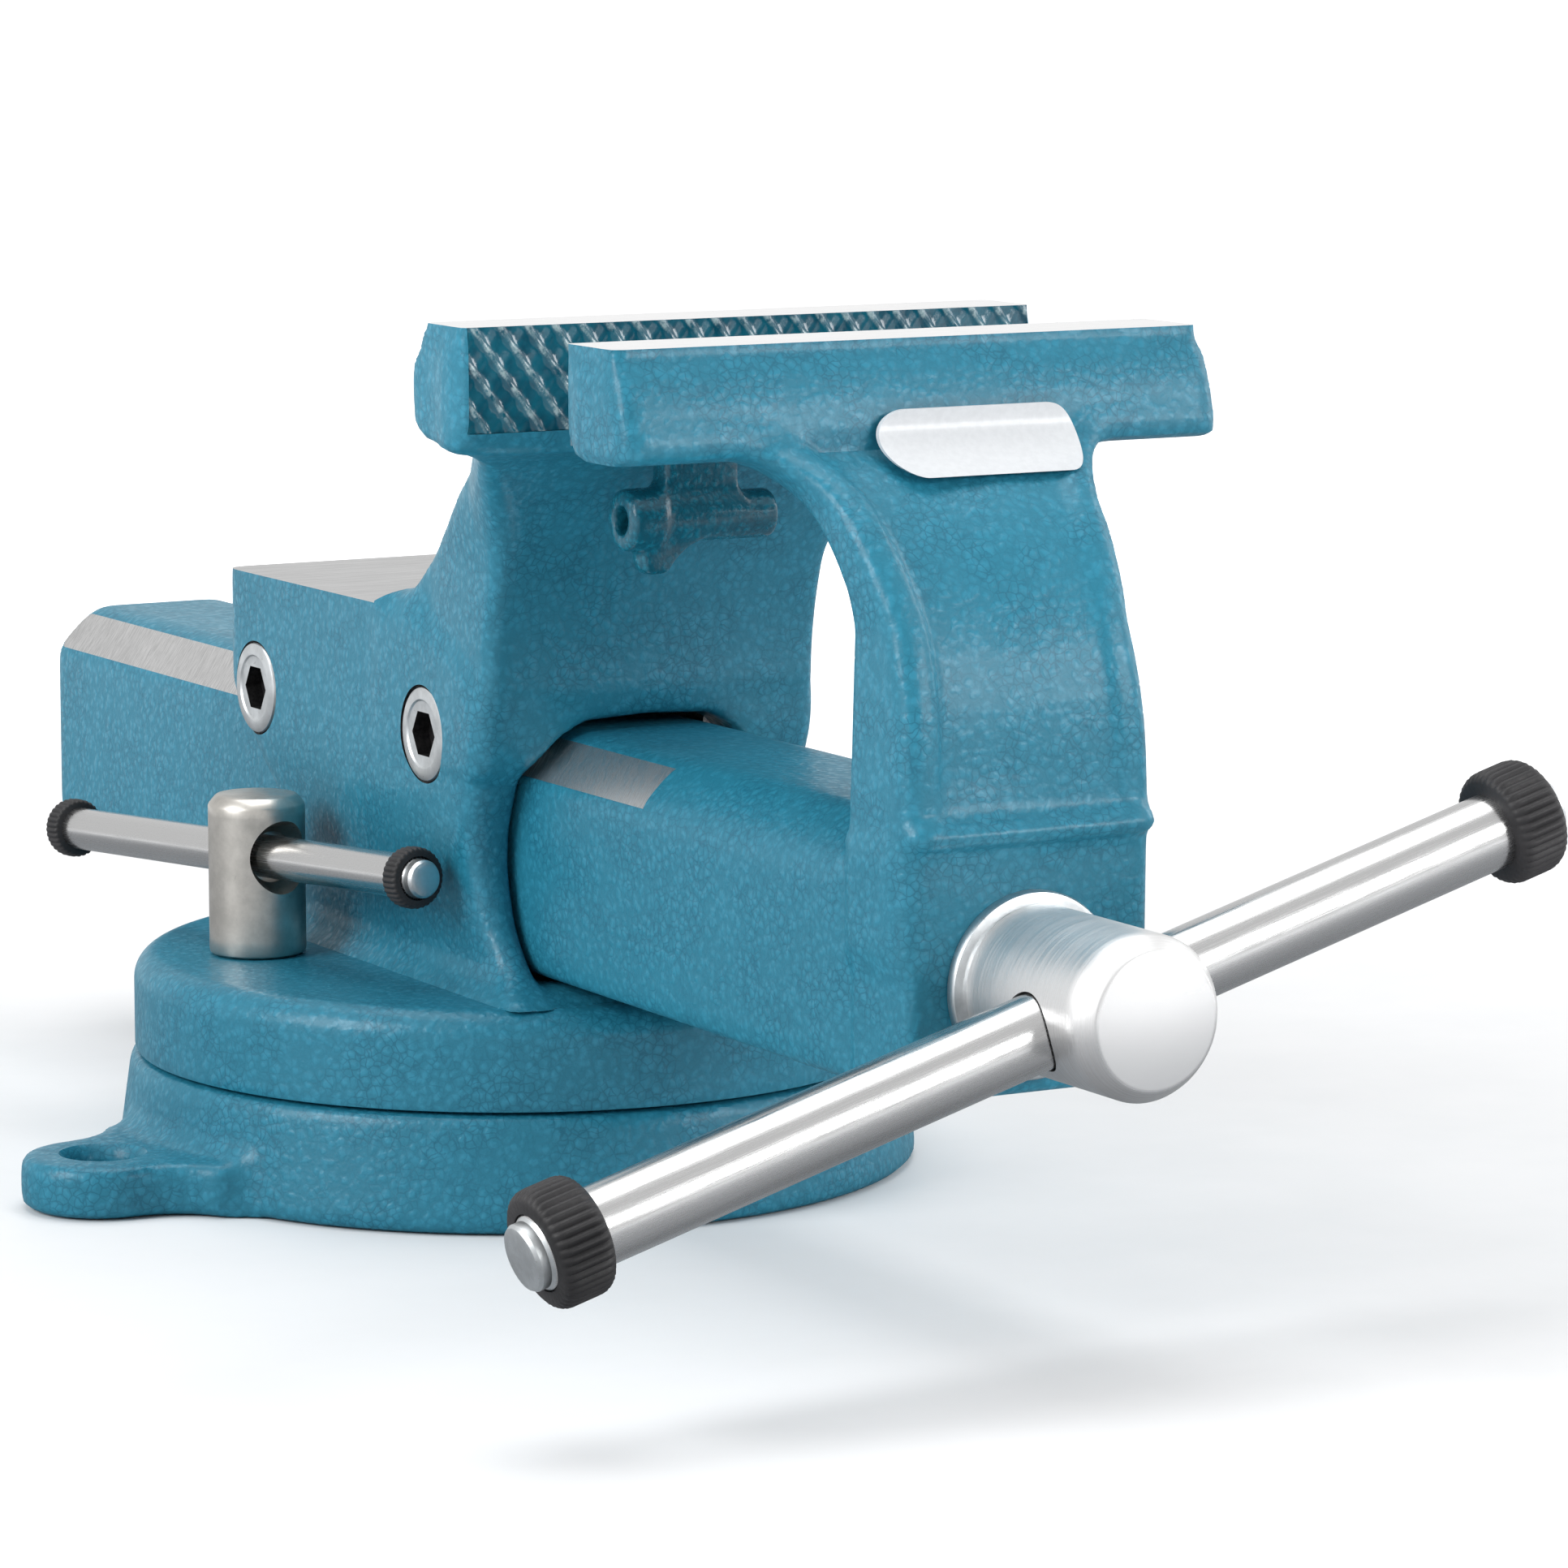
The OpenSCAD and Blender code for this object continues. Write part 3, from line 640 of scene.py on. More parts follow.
def machine_jaw(obj, direction, face_y, grip_low):
    """Cuts the top of a jaw flat and lets the gripping plate into its face."""
    reach = HALF_JAW + PAST
    near, far = sorted((face_y - direction * PAST, face_y + direction * 60))
    cut(obj, [block((-reach, near, JAW_TOP), (reach, far, JAW_TOP + 20))], index=1)
    near, far = sorted((face_y - direction * PAST, face_y + direction * GRIP_INSET))
    # The recess walls take the darker enamel: painted shade between the jaws
    cut(obj, [block((-GRIP_HALF, near, grip_low), (GRIP_HALF, far, JAW_TOP + PAST))], index=3)


def front_jaw():
    """Moving jaw, its arched upright, the boss and the slide, forged in one piece."""
    g = Grid((-HALF_JAW - 4, JAW_LO.y - 5, JAW_LO.z - 4),
             (HALF_JAW + 4, SLIDE_REAR + 4, JAW_TOP + OVER), STEP)
    low = JAW_TOP - MOVING_JAW_H
    jaw = jaw_block(g, MOVING_JAW, -1, MOVING_Y)

    throat_depth, throat_z = 43.5, 146
    side = g.side(behind(
        -1, MOVING_Y,
        [(4, JAW_TOP - 5), (4, low + 3)]
        + arc(0, throat_z, throat_depth, low - 3 - throat_z, 82, 0, 20)
        + [(throat_depth, 80), (66, 80), (66, 104.6), (71.2, 105.4), (72.4, 107.6), (71.2, 110), (69, 111.6)]
        + arc(4.5, THROAT_Z, 64.5, 71, 3, 67)
        + [(22, JAW_TOP - 5)]
    ))
    front = g.front(upright_front(29.5, 28.3, 60, 112, 148, low, 15, 1.2))
    upright = meet(g.soften(side + 0 * g.x[:2], 1.2)[:1], front, 4.0)
    # A shallow panel on the front, deepest at its left, with a raised rim around it
    rim, panel_low, panel_top = 8.2, 110.5, 192
    sunk = 2.2 * np.clip((18 - g.x) / 24, 0.45, 1) * np.clip((g.z - 108) / 12, 0.3, 1)
    recess = np.maximum(np.maximum(front + rim, panel_low - g.z), -(side + sunk))
    recess = np.maximum(recess, np.maximum(g.z - panel_top, g.y - (MOVING_Y - 28)))
    upright = carve(upright, g.soften(recess, 1.2), 1.4)

    boss = meet(g.front(both_sides([(25.0, 53), (28.1, 56.5), (28.7, 104.2)])),
                np.maximum(BOSS_FACE - g.y, g.y - (BOSS_FACE + 27)), 2.6)
    slide = meet(g.soften(g.front(slide_outline(0.9)) + 0 * g.y[:, :2], 4.0)[:, :1],
                 np.maximum(BOSS_FACE + 20 - g.y, g.y - SLIDE_REAR), 4.0)
    groove = np.hypot(np.abs(g.x) - (SLIDE_HALF + 2.0), g.y - (BOSS_FACE + 25)) - 3.2
    groove = np.maximum(groove, g.z - 104)
    field = join(boss, slide, 3.0)
    field = carve(field, groove, 1.5)
    field = join(field, upright, 4.0)
    field = join(field, jaw, 4.0)
    field = g.soften(field, 1.2)
    obj = forging("front_jaw_forging", g, field, [ENAMEL, JAW_STEEL, STRIP_STEEL, GLOSS_SHADED_ENAMEL])

    machine_jaw(obj, -1, MOVING_Y, GRIP_LOW_FRONT)
    reach = 12
    for s in (1, -1):
        corner = [(s * (SLIDE_HALF + reach), CHAMFER_Z - reach),
                  (s * (SLIDE_HALF + reach), CHAMFER_Z + reach),
                  (s * (SLIDE_HALF - reach), CHAMFER_Z + reach)]
        cut(obj, [prism(corner, "y", FIXED_Y, SLIDE_REAR + PAST)], index=2)
    # Hollow for the nut, the slot that the nut's stem passes through, and the spindle's bore
    cavity, slot_half, slot_front = 18, 10, -102
    back = BOSS_FACE + 24
    bore = [(0, BOSS_FACE - PAST), (BOSS_BORE_R, BOSS_FACE - PAST), (BOSS_BORE_R, back + 1), (0, back + 1)]
    cut(obj, [
        block((-cavity, back, SPINDLE_Z - cavity), (cavity, SLIDE_REAR + PAST, SPINDLE_Z + cavity)),
        block((-slot_half, slot_front, SLIDE_Z - PAST), (slot_half, SLIDE_REAR + PAST, SPINDLE_Z)),
        lathe("bore", bore, [], place=moved(z=SPINDLE_Z) @ ALONG_Y),
    ])
    return smooth(obj)


def vise_body():
    """Fixed jaw, its leaning upright, the anvil and the housing around the slide."""
    g = Grid((-HALF_JAW - 4, FIXED_Y - 4, DISC_TOP - 3), (HALF_JAW + 4, BODY_REAR + 4, JAW_TOP + OVER), STEP)
    low = JAW_TOP - FIXED_JAW_H
    jaw = jaw_block(g, FIXED_JAW, 1, FIXED_Y)

    side = g.side(behind(
        1, FIXED_Y,
        [(4, JAW_TOP - 6), (4, low)]
        + arc(0, THROAT_Z, THROAT_DEPTH, THROAT_RISE, 82, 0, 20)
        + [(49.5, 108), (52, 100), (103, 100), (103, ANVIL_Z), (90, 138.5), (78, 147.5), (59, 163),
           (47, 171), (36, 177.5), (24, 186), (20, JAW_TOP - 6)]
    ))
    front = g.front(upright_front(42, 42.2, 100, 120, 145, low, 36))
    half = [(HALF_JAW, FIXED_Y - PAST), (HALF_JAW, FIXED_Y + 8), (56, FIXED_Y + 22), (45.5, FIXED_Y + 47),
            (40, FIXED_Y + 78), (39, ANVIL_START), (39, ANVIL_START + PAST)]
    plan = g.plan(both_sides(half))
    upright = meet(meet(side, plan, 3.5), front, 3.5)

    housing = np.maximum(
        g.side([(-76.5, 40), (-74.5, 49.5), (-68.5, 54), (-59.5, 65), (-56, 77), (-56.5, 86), (-61.5, 98),
                (-65.5, 108), (-58.5, 122), (-30, ANVIL_Z), (-16, ANVIL_Z), (-13, ANVIL_Z + OVER),
                (BODY_REAR, ANVIL_Z + OVER), (BODY_REAR, 105), (47, 81), (44, 40)]),
        g.front(both_sides([(35.3, 40), (BODY_HALF, 94), (BODY_HALF, ANVIL_Z + OVER)])))
    housing = g.soften(housing, 5.0)
    # The housing flares out where it stands on the disc
    flare = 9
    floor_level = g.z - (DISC_TOP - 0.1) + 0 * housing
    body = np.maximum(join(housing, floor_level, flare),
                      np.maximum(DISC_TOP - 0.6 - g.z, housing - flare + 0.6))
    body = join(body, upright, 6.0)
    body = join(body, jaw, 7.0)
    channel = g.front(both_sides([
        (SLIDE_HALF + 1.1, SLIDE_Z - 1), (SLIDE_HALF + 1.1, CHAMFER_Z + 1.6),
        (SLIDE_HALF - CHAMFER + 1.4, CHAMFER_Z + CHAMFER + 2), (16, SLIDE_TOP + 2.2), (0, SLIDE_TOP + 3.0)]))
    body = carve(body, channel + 0 * body, 2.6)
    body = g.soften(body, 1.6)
    obj = forging("vise_body_forging", g, body, [ENAMEL, JAW_STEEL, ANVIL_STEEL, GLOSS_SHADED_ENAMEL, OXIDE_AND_BORE_SHADE])

    machine_jaw(obj, 1, FIXED_Y, GRIP_LOW_REAR)
    # First the paint's thickness over the anvil and up the back of the upright, then the bare face
    anvil_reach, clear_top, paint = 60, 170, 0.4
    over_anvil = [(ANVIL_START, ANVIL_Z + paint), (FIXED_Y + 90, 140.2), (FIXED_Y + 76, 151),
                  (FIXED_Y + 76, clear_top), (BODY_REAR + PAST, clear_top),
                  (BODY_REAR + PAST, ANVIL_Z + paint)]
    cut(obj, [prism(over_anvil, "x", -anvil_reach, anvil_reach)])
    bare = block((-anvil_reach, ANVIL_START, ANVIL_Z), (anvil_reach, BODY_REAR + PAST, ANVIL_Z + 30))
    cut(obj, [bare], index=2)
    # Pockets for the guide strips, and the countersunk holes of their screws
    tools = []
    fit = 0.05
    strip_lo, strip_hi = box_mm("guide_strip_right")
    for s in (1, -1):
        near, far = sorted((s * (strip_lo.x - 10), s * (strip_hi.x + fit)))
        tools.append(block((near, strip_lo.y - fit, strip_lo.z - fit),
                           (far, BODY_REAR + PAST, strip_hi.z + fit)))
        for y in screw_rows():
            seat = [(0, -3), (6.1, -3), (6.1, 4.2), (11.2, 8.4), (11.2, 20), (0, 20)]
            place = moved(s * (strip_hi.x + fit), y, screw_z()) @ turned(s * 90, "Y")
            tools.append(lathe("seat", seat, [], 64, place))
    # The pocket and screw seat walls take the black oxide: painted shade
    cut(obj, tools, index=4)
    return smooth(obj)


def screw_rows():
    """Y of the two guide screws on a side, from the screws' own box."""
    lo, hi = box_mm("guide_screws_left")
    r = (hi.z - lo.z) / 2
    return lo.y + r, hi.y - r


def screw_z():
    """Height of the guide screws."""
    lo, hi = box_mm("guide_screws_left")
    return (lo.z + hi.z) / 2


def base_plate():
    """Tapered drum with two bolt ears, a bore and the annular T-groove of the clamp nut."""
    lo, hi = box_mm("base_plate")
    g = Grid((lo.x - 4, lo.y - 4, lo.z - 4), (hi.x + 4, hi.y + 4, hi.z + 4), STEP)
    radius = np.hypot(g.x, g.y)
    top_r, foot_r = 90.3, 94
    drum = np.maximum(radius - (foot_r + (top_r - foot_r) * g.z / hi.z), np.maximum(g.z - hi.z, -g.z))
    field = g.soften(drum + 0 * g.z, 2.6)
    ear_r, ear_h, flank = 18.5, 12, 17
    holes = [MOUNTS["ear_hole_left"], MOUNTS["ear_hole_rear"]]
    for hole in holes:
        reach = math.hypot(hole.x, hole.y)
        ax, ay = hole.x / reach, hole.y / reach
        along = g.x * ax + g.y * ay
        across = np.abs(g.y * ax - g.x * ay)
        boss = np.hypot(along - reach, across) - ear_r
        web = np.maximum(np.maximum(along - reach - 1, 60 - along), across - ear_r - 10)
        web = np.maximum(web, flank - np.hypot(along - reach - 1, across - ear_r - flank))
        ear = np.maximum(np.minimum(boss, web), np.maximum(g.z - ear_h, -g.z))
        field = join(field, g.soften(ear, 2.8), 5.0)
    field = np.maximum(field, -g.z)
    obj = forging("base_plate_casting", g, field, [ENAMEL, OXIDE_AND_BORE_SHADE])
    for hole in holes:
        rim = [(0, -9), (8.0, -9), (8.0, ear_h - 3.2), (8.7, ear_h - 1.2), (10.6, ear_h + 0.6),
               (10.6, ear_h + 9), (0, ear_h + 9)]
        cut(obj, [lathe("rim", rim, [], 64, moved(hole.x, hole.y))])
    lock_lo, lock_hi = box_mm("lock_screw")
    lock_r = ((lock_lo + lock_hi) / 2).xy.length
    half_groove = [(7, 30), (7, 17), (14, 17), (14, 7)]
    groove = [(lock_r - a, z) for a, z in half_groove] + [(lock_r + a, z) for a, z in half_groove[::-1]]
    bore = [(0, 5), (10.1, 5), (10.1, 30), (0, 30)]
    # The groove and bore walls take the black oxide: painted shade
    cut(obj, [lathe("groove", groove, [], 128, closed=True), lathe("bore", bore, [], 64)], index=1)
    return smooth(obj)


def swivel_disc():
    """Disc with a rounded rim. The rows of points keep the shading of its top even."""
    r, rim = DISC_HI.x, 6.5
    head_r, head_z = 18.5, 38
    profile = [(PIVOT_R, DISC_LO.z), (r - 1.2, DISC_LO.z), (r - 0.3, DISC_LO.z + 0.3), (r, DISC_LO.z + 1.2)]
    steps = np.linspace(DISC_LO.z + 3, DISC_TOP - rim - 1, 8)
    profile += [(r, z) for z in steps]
    profile += arc(r - rim, DISC_TOP - rim, rim, rim, 0, 90, 12)
    profile += [(r - rim - 2 - 8 * i, DISC_TOP) for i in range(6)]
    profile += [(head_r, DISC_TOP), (head_r, head_z), (PIVOT_R, head_z)]
    obj = lathe("swivel_disc_casting", profile, [ENAMEL, OXIDE_AND_BORE_SHADE], 256, closed=True)
    lo, hi = box_mm("lock_screw")
    hub = (lo + hi) / 2
    hole = [(0, 10), (6.3, 10), (6.3, 80), (0, 80)]
    # The hole's wall takes the black oxide: painted shade
    cut(obj, [lathe("hole", hole, [], 48, moved(hub.x, hub.y))], index=1)
    return smooth(obj)


def pipe_jaw(name, node, low, end):
    """Cast pipe-gripping bar hung on a web, with a hollow collar and a lug. end is the collar's side."""
    lo, hi = box_mm(node)
    middle = (lo + hi) / 2
    half = (hi.x - lo.x) / 2
    axis_z, bar_r, collar_r, bore_r = 160.5, 5.4, 6.75, 3
    g = Grid((lo.x - 2, lo.y - 2, lo.z - 2), (hi.x + 2, hi.y + 2, low + 1), STEP * 0.4)
    along = (g.x - middle.x) * end
    radius = np.hypot(g.y - middle.y, g.z - axis_z)
    rod = np.maximum(radius - bar_r, np.abs(along) - half)
    collar = np.maximum(radius - collar_r, np.abs(along - half + 4) - 4)
    rod = g.soften(join(rod, collar, 1.5), 1.2)
    thick = np.abs(g.y - middle.y)
    web = np.maximum(np.maximum(np.abs(along) - 9, thick - 3.5), np.maximum(axis_z - g.z, g.z - low))
    profile = [(middle.x + end * u, axis_z + w) for u, w in
               [(0, 0), (0, -4), (6, -9), (8, -12), (13, -12), (14.5, -10), (14.5, 0)]]
    lug = np.maximum(g.front(profile), thick - 3)
    field = join(join(rod, g.soften(web, 1.2), 3.0), g.soften(lug, 1.6), 1.6)
    field = np.maximum(field, g.z - (low - 0.06))
    field = carve(field, np.maximum(radius - bore_r, half - 10 - along), 0.7)
    # Darker enamel: painted shade under the jaws
    return smooth(forging(name, g, field, [GLOSS_SHADED_ENAMEL]))


def serration(name, face_y, direction, z_low):
    """Gripping plate with two crossing sets of diagonal ridges, flush with the gripping face."""
    pitch, depth, thick = 5.2, 0.75, 1.4
    lean = math.radians(54)
    fine = 0.42
    half = GRIP_HALF - GRIP_GAP
    u = np.linspace(-half, half, int(2 * half / fine))
    v = np.linspace(z_low, JAW_TOP - 0.05, int((JAW_TOP - z_low) / fine))
    gu, gv = np.meshgrid(u, v, indexing="ij")

    def ridge(angle, width):
        s = (gu * math.sin(angle) + gv * math.cos(angle)) / pitch
        return np.clip((1 - np.abs(s - np.floor(s) - 0.5) * 2 / width) * 1.35, 0, 1)

    main, cross = ridge(lean, 0.5), ridge(-lean, 0.7)
    down = depth * (1 - np.maximum(main * (0.72 + 0.28 * cross), cross * 0.42))
    nu, nv = gu.shape
    front = np.stack([gu, face_y + direction * down, gv], -1).reshape(-1, 3)
    back = np.stack([gu, np.full_like(gu, face_y + direction * thick), gv], -1).reshape(-1, 3)
    index = np.arange(nu * nv).reshape(nu, nv)
    a, b, c, d = index[:-1, :-1], index[1:, :-1], index[1:, 1:], index[:-1, 1:]
    quads = np.stack([a, b, c, d], -1).reshape(-1, 4)
    rim = np.concatenate([index[:, 0], index[-1, 1:], index[-2::-1, -1], index[0, -2:0:-1]])
    n = nu * nv
    following = np.roll(rim, -1)
    wall = np.stack([rim, following, following + n, rim + n], -1)
    faces = np.concatenate([quads, quads[:, ::-1] + n, wall])
    obj = piece(name, np.concatenate([front, back]), faces, [grip_enamel(name, face_y, direction)])
    return smooth(closed_out(obj), 60)


# ---- turned and bought parts

def spindle():
    """Screw with a real thread, a plain neck and a cross-drilled head."""
    lo, hi = box_mm("spindle")
    head_len = HEAD_Y - lo.y
    head_r, face_r = 17, 14
    # The neck passes the washer, the boss, a gap and the collar, and ends a little behind it
    neck_end = HEAD_Y + 3 + 24 + 0.4 + 11 + 4
    profile = [(0, 0), (face_r - 0.6, 0.0), (face_r, 0.15), (face_r + 0.4, 0.5), (head_r - 0.5, 3.6),
               (head_r, 4.6)]
    profile += [(head_r, z) for z in np.linspace(8, head_len - 3, 8)]
    profile += [(head_r, head_len - 0.8), (head_r - 0.6, head_len), (NECK_R, head_len),
                (NECK_R, neck_end - lo.y), (0, neck_end - lo.y)]
    head = lathe("spindle_screw", profile, [TURNED_STEEL, FACE_STEEL], 128,
                 moved(0, lo.y, SPINDLE_Z) @ ALONG_Y)
    for p in head.data.polygons:
        x, y, z = p.center / MM
        if y < lo.y + 0.4 and math.hypot(x, z - SPINDLE_Z) < face_r:
            p.material_index = 1
    hole_r = 8.5
    hole = [(0, -40), (hole_r, -40), (hole_r, 40), (0, 40)]
    cut(head, [lathe("hole", hole, [], 64, handle_matrix() @ ALONG_X)])
    thread = screw_thread(neck_end - 1, hi.y)
    smooth(head, 30)
    return head, thread


def screw_thread(y0, y1):
    """Right-hand trapezoidal thread, as a height field over a cylinder."""
    pitch, outer, depth = 6.0, 12.0, 3.0
    around = 48
    along = max(2, int((y1 - y0) / pitch * (14)))
    y = np.linspace(y0, y1, along)
    angle = np.arange(around) * 2 * math.pi / around
    gy, ga = np.meshgrid(y, angle, indexing="ij")
    turn = gy / pitch + ga / (2 * math.pi)
    wave = np.abs(turn - np.floor(turn) - 0.5) * 2
    fade = np.clip((y1 - gy) / 4, 0, 1)
    r = outer - depth * np.clip((wave - 0.36) / 0.3, 0, 1)
    r = np.minimum(r, outer - 3.2 * (1 - fade))
    verts = np.stack([r * np.cos(ga), gy, r * np.sin(ga)], -1).reshape(-1, 3)
    verts = np.concatenate([verts, [[0, y0, 0], [0, y1, 0]]])
    index = np.arange(along * around).reshape(along, around)
    nxt = np.roll(index, -1, axis=1)
    faces = np.stack([index[:-1], index[1:], nxt[1:], nxt[:-1]], -1).reshape(-1, 4).tolist()
    first, last = along * around, along * around + 1
    faces += [[first, int(a), int(b)] for a, b in zip(index[0], nxt[0])]
    faces += [[last, int(b), int(a)] for a, b in zip(index[-1], nxt[-1])]
    obj = piece("spindle_thread", verts, faces, [TURNED_STEEL])
    obj.data.transform(moved(z=SPINDLE_Z))
    return smooth(closed_out(obj), 40)


def joint_frame(joint, through):
    """Matrix that stands on a slide joint's axis at the middle of a box, with X along the axis."""
    axis = Vector(JOINTS[joint]["axis"]).normalized()
    return Matrix.Translation(through) @ axis.to_track_quat("X", "Z").to_matrix().to_4x4()


def handle_matrix():
    """The handle bar's axis, at the point where it crosses the spindle's axis."""
    lo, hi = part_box("handle_bar")
    return joint_frame("handle_slide", Vector((0, (lo.y + hi.y) / 2, SPINDLE_Z * MM)))


def lock_matrix():
    """The lock bar's axis, at the point where it crosses the lock screw's axis."""
    points = np.array([v.co for v in frame["nodes"]["lock_bar"].data.vertices])
    middle = Vector((points.min(0) + points.max(0)) / 2)
    lo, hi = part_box("lock_screw")
    axis = Vector(JOINTS["lock_bar_slide"]["axis"]).normalized()
    travel = ((lo.y + hi.y) / 2 - middle.y) / axis.y
    return joint_frame("lock_bar_slide", middle + axis * travel)


def span_along(place, node):
    """How far a CAD node reaches along the X axis of a matrix, in mm."""
    back = place.inverted()
    along = [(back @ v.co).x / MM for v in frame["nodes"][node].data.vertices]
    return min(along), max(along)


def bar(name, place, r, x0, x1, stub, stub_r):
    """Round bar with turned-down ends and a small dome on each."""

    def end(sign, x):
        return [(0, x), (stub_r - 1.4, x), (stub_r - 0.5, x - sign * 0.35), (stub_r, x - sign * 1.1),
                (stub_r, x - sign * (stub - 0.6)), (r - 0.5, x - sign * stub), (r, x - sign * (stub + 0.6))]

    middle = [(r, x) for x in np.linspace(x0 + stub + 4, x1 - stub - 4, 24)]
    profile = end(-1, x0) + middle + end(1, x1)[::-1]
    obj = lathe(name, profile, [BAR_STEEL, ZINC], 96, ALONG_X)
    for p in obj.data.polygons:
        if not x0 + stub <= p.center.x / MM <= x1 - stub:
            p.material_index = 1
    obj.matrix_world = place
    return smooth(obj, 30)


def ring(name, place, r, bore, x0, width, ribs):
    """Rubber ring with moulded ribs and soft shoulders."""
    depth = r * 0.05

    def ripple(angles, radius):
        share = max(0.0, (radius - (r - depth * 2.2)) / (depth * 2.2))
        wave = 0.5 + 0.5 * np.cos(angles * ribs)
        return 1 - share * depth / r * (1 - wave ** 0.6)

    shoulder = width * 0.2
    outer = [(r - shoulder * 0.75, x0), (r - shoulder * 0.35, x0 + shoulder * 0.25),
             (r - shoulder * 0.08, x0 + shoulder * 0.7), (r, x0 + shoulder * 1.2)]
    profile = [(bore, x0)] + outer + [(r, x0 + width / 2)]
    profile += [(a, 2 * x0 + width - b) for a, b in reversed(outer)] + [(bore, x0 + width)]
    obj = lathe(name, profile, [RUBBER], ribs * 8, ALONG_X, closed=True, ripple=ripple)
    obj.matrix_world = place
    return smooth(obj, 40)


def lock_screw():
    """Round hub on the disc, cross-drilled with countersunk ends for the lock bar."""
    lo, hi = box_mm("lock_screw")
    r = (hi.x - lo.x) / 2
    x, y = (lo.x + hi.x) / 2, (lo.y + hi.y) / 2
    low, top = DISC_TOP + 0.3, hi.z
    profile = [(0, lo.z), (5, lo.z), (6, lo.z + 1), (6, low), (r - 0.7, low), (r - 0.2, low + 0.4),
               (r, low + 1.2)]
    profile += [(r, z) for z in np.linspace(low + 4, top - 4.6, 6)]
    profile += [(r, top - 2.6), (r - 0.25, top - 2.0), (r - 1.5, top - 0.5), (r - 2.0, top - 0.12),
                (r - 2.6, top), (0, top)]
    obj = lathe("lock_screw_hub", profile, [LOCK_STEEL, OXIDE_AND_BORE_SHADE], 96, moved(x, y))
    half = [(0, 30), (10.5, 30), (8.6, r), (7.0, r - 3.6), (5.9, r - 5)]
    hole = half + [(a, -b) for a, b in reversed(half)]
    cut(obj, [lathe("hole", hole, [], 64, lock_matrix() @ ALONG_X)])
    return smooth(obj, 30)


def guide_screw(name, side):
    """Countersunk head with a dished face and a hexagon socket."""
    lo, hi = box_mm("guide_screws_" + name)
    out = hi.x if side > 0 else -lo.x
    r = (hi.z - lo.z) / 2
    h = hi.x - lo.x
    socket_r = 5.7
    corners = [math.radians(30 + 60 * k) for k in range(6)]
    flats = [(socket_r * math.cos(a), socket_r * math.sin(a)) for a in corners]
    made = []
    for i, y in enumerate(screw_rows()):
        profile = [(0, 0), (6, 0), (6, h * 0.45), (r - 0.25, h - 1.3), (r, h - 0.9), (r - 0.25, h - 0.35),
                   (r - 0.9, h), (7.9, h), (7.5, h - 0.35), (6.9, h - 0.4), (0, h - 0.4)]
        place = moved(side * (out - h), y, screw_z()) @ turned(side * 90, "Y")
        obj = lathe(f"guide_screw_{name}_{i + 1}", profile, [ZINC, OXIDE_AND_BORE_SHADE], 96, place)
        socket = prism(flats, "z", h - 4.4, h + 3)
        socket.data.transform(place)
        # The socket's walls take the black oxide: painted shade
        cut(obj, [socket], index=1)
        made.append(smooth(obj, 30))
    return made


def washer():
    """Thrust washer, a hair clear of the spindle head that turns against it."""
    r, t = (WASHER_HI.x - WASHER_LO.x) / 2, WASHER_HI.y - WASHER_LO.y
    bore, clear = NECK_R + 0.1, 0.04
    profile = [(bore, clear), (r - 1.1, clear), (r - 0.35, 0.25), (r, 0.9), (r, t - 0.4), (r - 0.4, t),
               (bore, t)]
    place = moved(0, WASHER_LO.y, SPINDLE_Z) @ ALONG_Y
    return smooth(lathe("thrust_washer_ring", profile, [ZINC], 128, place, closed=True))


# ---- badge

def badge(target):
    """Plain white pill just in front of the panel. It follows the panel's curve from bottom to top."""
    half, r, x, z = 23.6, 6.6, 9.6, 183.6
    columns, rows = 72, 16
    flat, faces = [], []
    for i in range(columns + 1):
        u = -half * math.cos(math.pi * i / columns)
        end = max(0.0, abs(u) - (half - r))
        height = math.sqrt(max(r * r - end * end, 0.0004))
        flat += [(x + u, z + height * (2 * k / rows - 1)) for k in range(rows + 1)]
    for i in range(columns):
        for k in range(rows):
            a = i * (rows + 1) + k
            faces.append([a, a + rows + 1, a + rows + 2, a + 1])
    tree = BVHTree.FromObject(target, bpy.context.evaluated_depsgraph_get())
    inwards = Vector((0, 1, 0))
    panel = [tree.ray_cast(Vector((u, MOVING_Y - 90, w)) * MM, inwards)[0].y / MM for u, w in flat]
    up = np.array(flat)[:, 1] - z
    terms = np.stack([np.ones(len(flat)), up, up ** 2], axis=1)
    level = terms @ np.linalg.lstsq(terms, np.array(panel), rcond=None)[0]
    level = level - max(level - panel) - 0.1
    thick = 1.2
    n = len(flat)
    verts = [(u, y, w) for (u, w), y in zip(flat, level)]
    verts += [(u, y + thick, w) for (u, w), y in zip(flat, level)]
    edge = list(range(rows)) + [i * (rows + 1) + rows for i in range(columns)]
    edge += [n - 1 - k for k in range(rows)] + [(columns - i) * (rows + 1) for i in range(columns)]
    sides = [[a, b, b + n, a + n] for a, b in zip(edge, edge[1:] + edge[:1])]
    back = [[v + n for v in reversed(f)] for f in faces]
    return smooth(closed_out(piece("badge_plain", verts, faces + back + sides, [LABEL])), 50)


# ---- the assembly

def show(obj, body, slot, *nodes):
    """Puts a piece on its body and hides the CAD nodes that it stands for. The slot argument is not used."""
    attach(obj, body)
    if nodes:
        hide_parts(*nodes)
    return obj


def redress(material, *nodes):
    """Gives kept CAD nodes a better material."""
    for node in nodes:
        slots = frame["nodes"][node].data.materials
        slots.clear()
        slots.append(material)


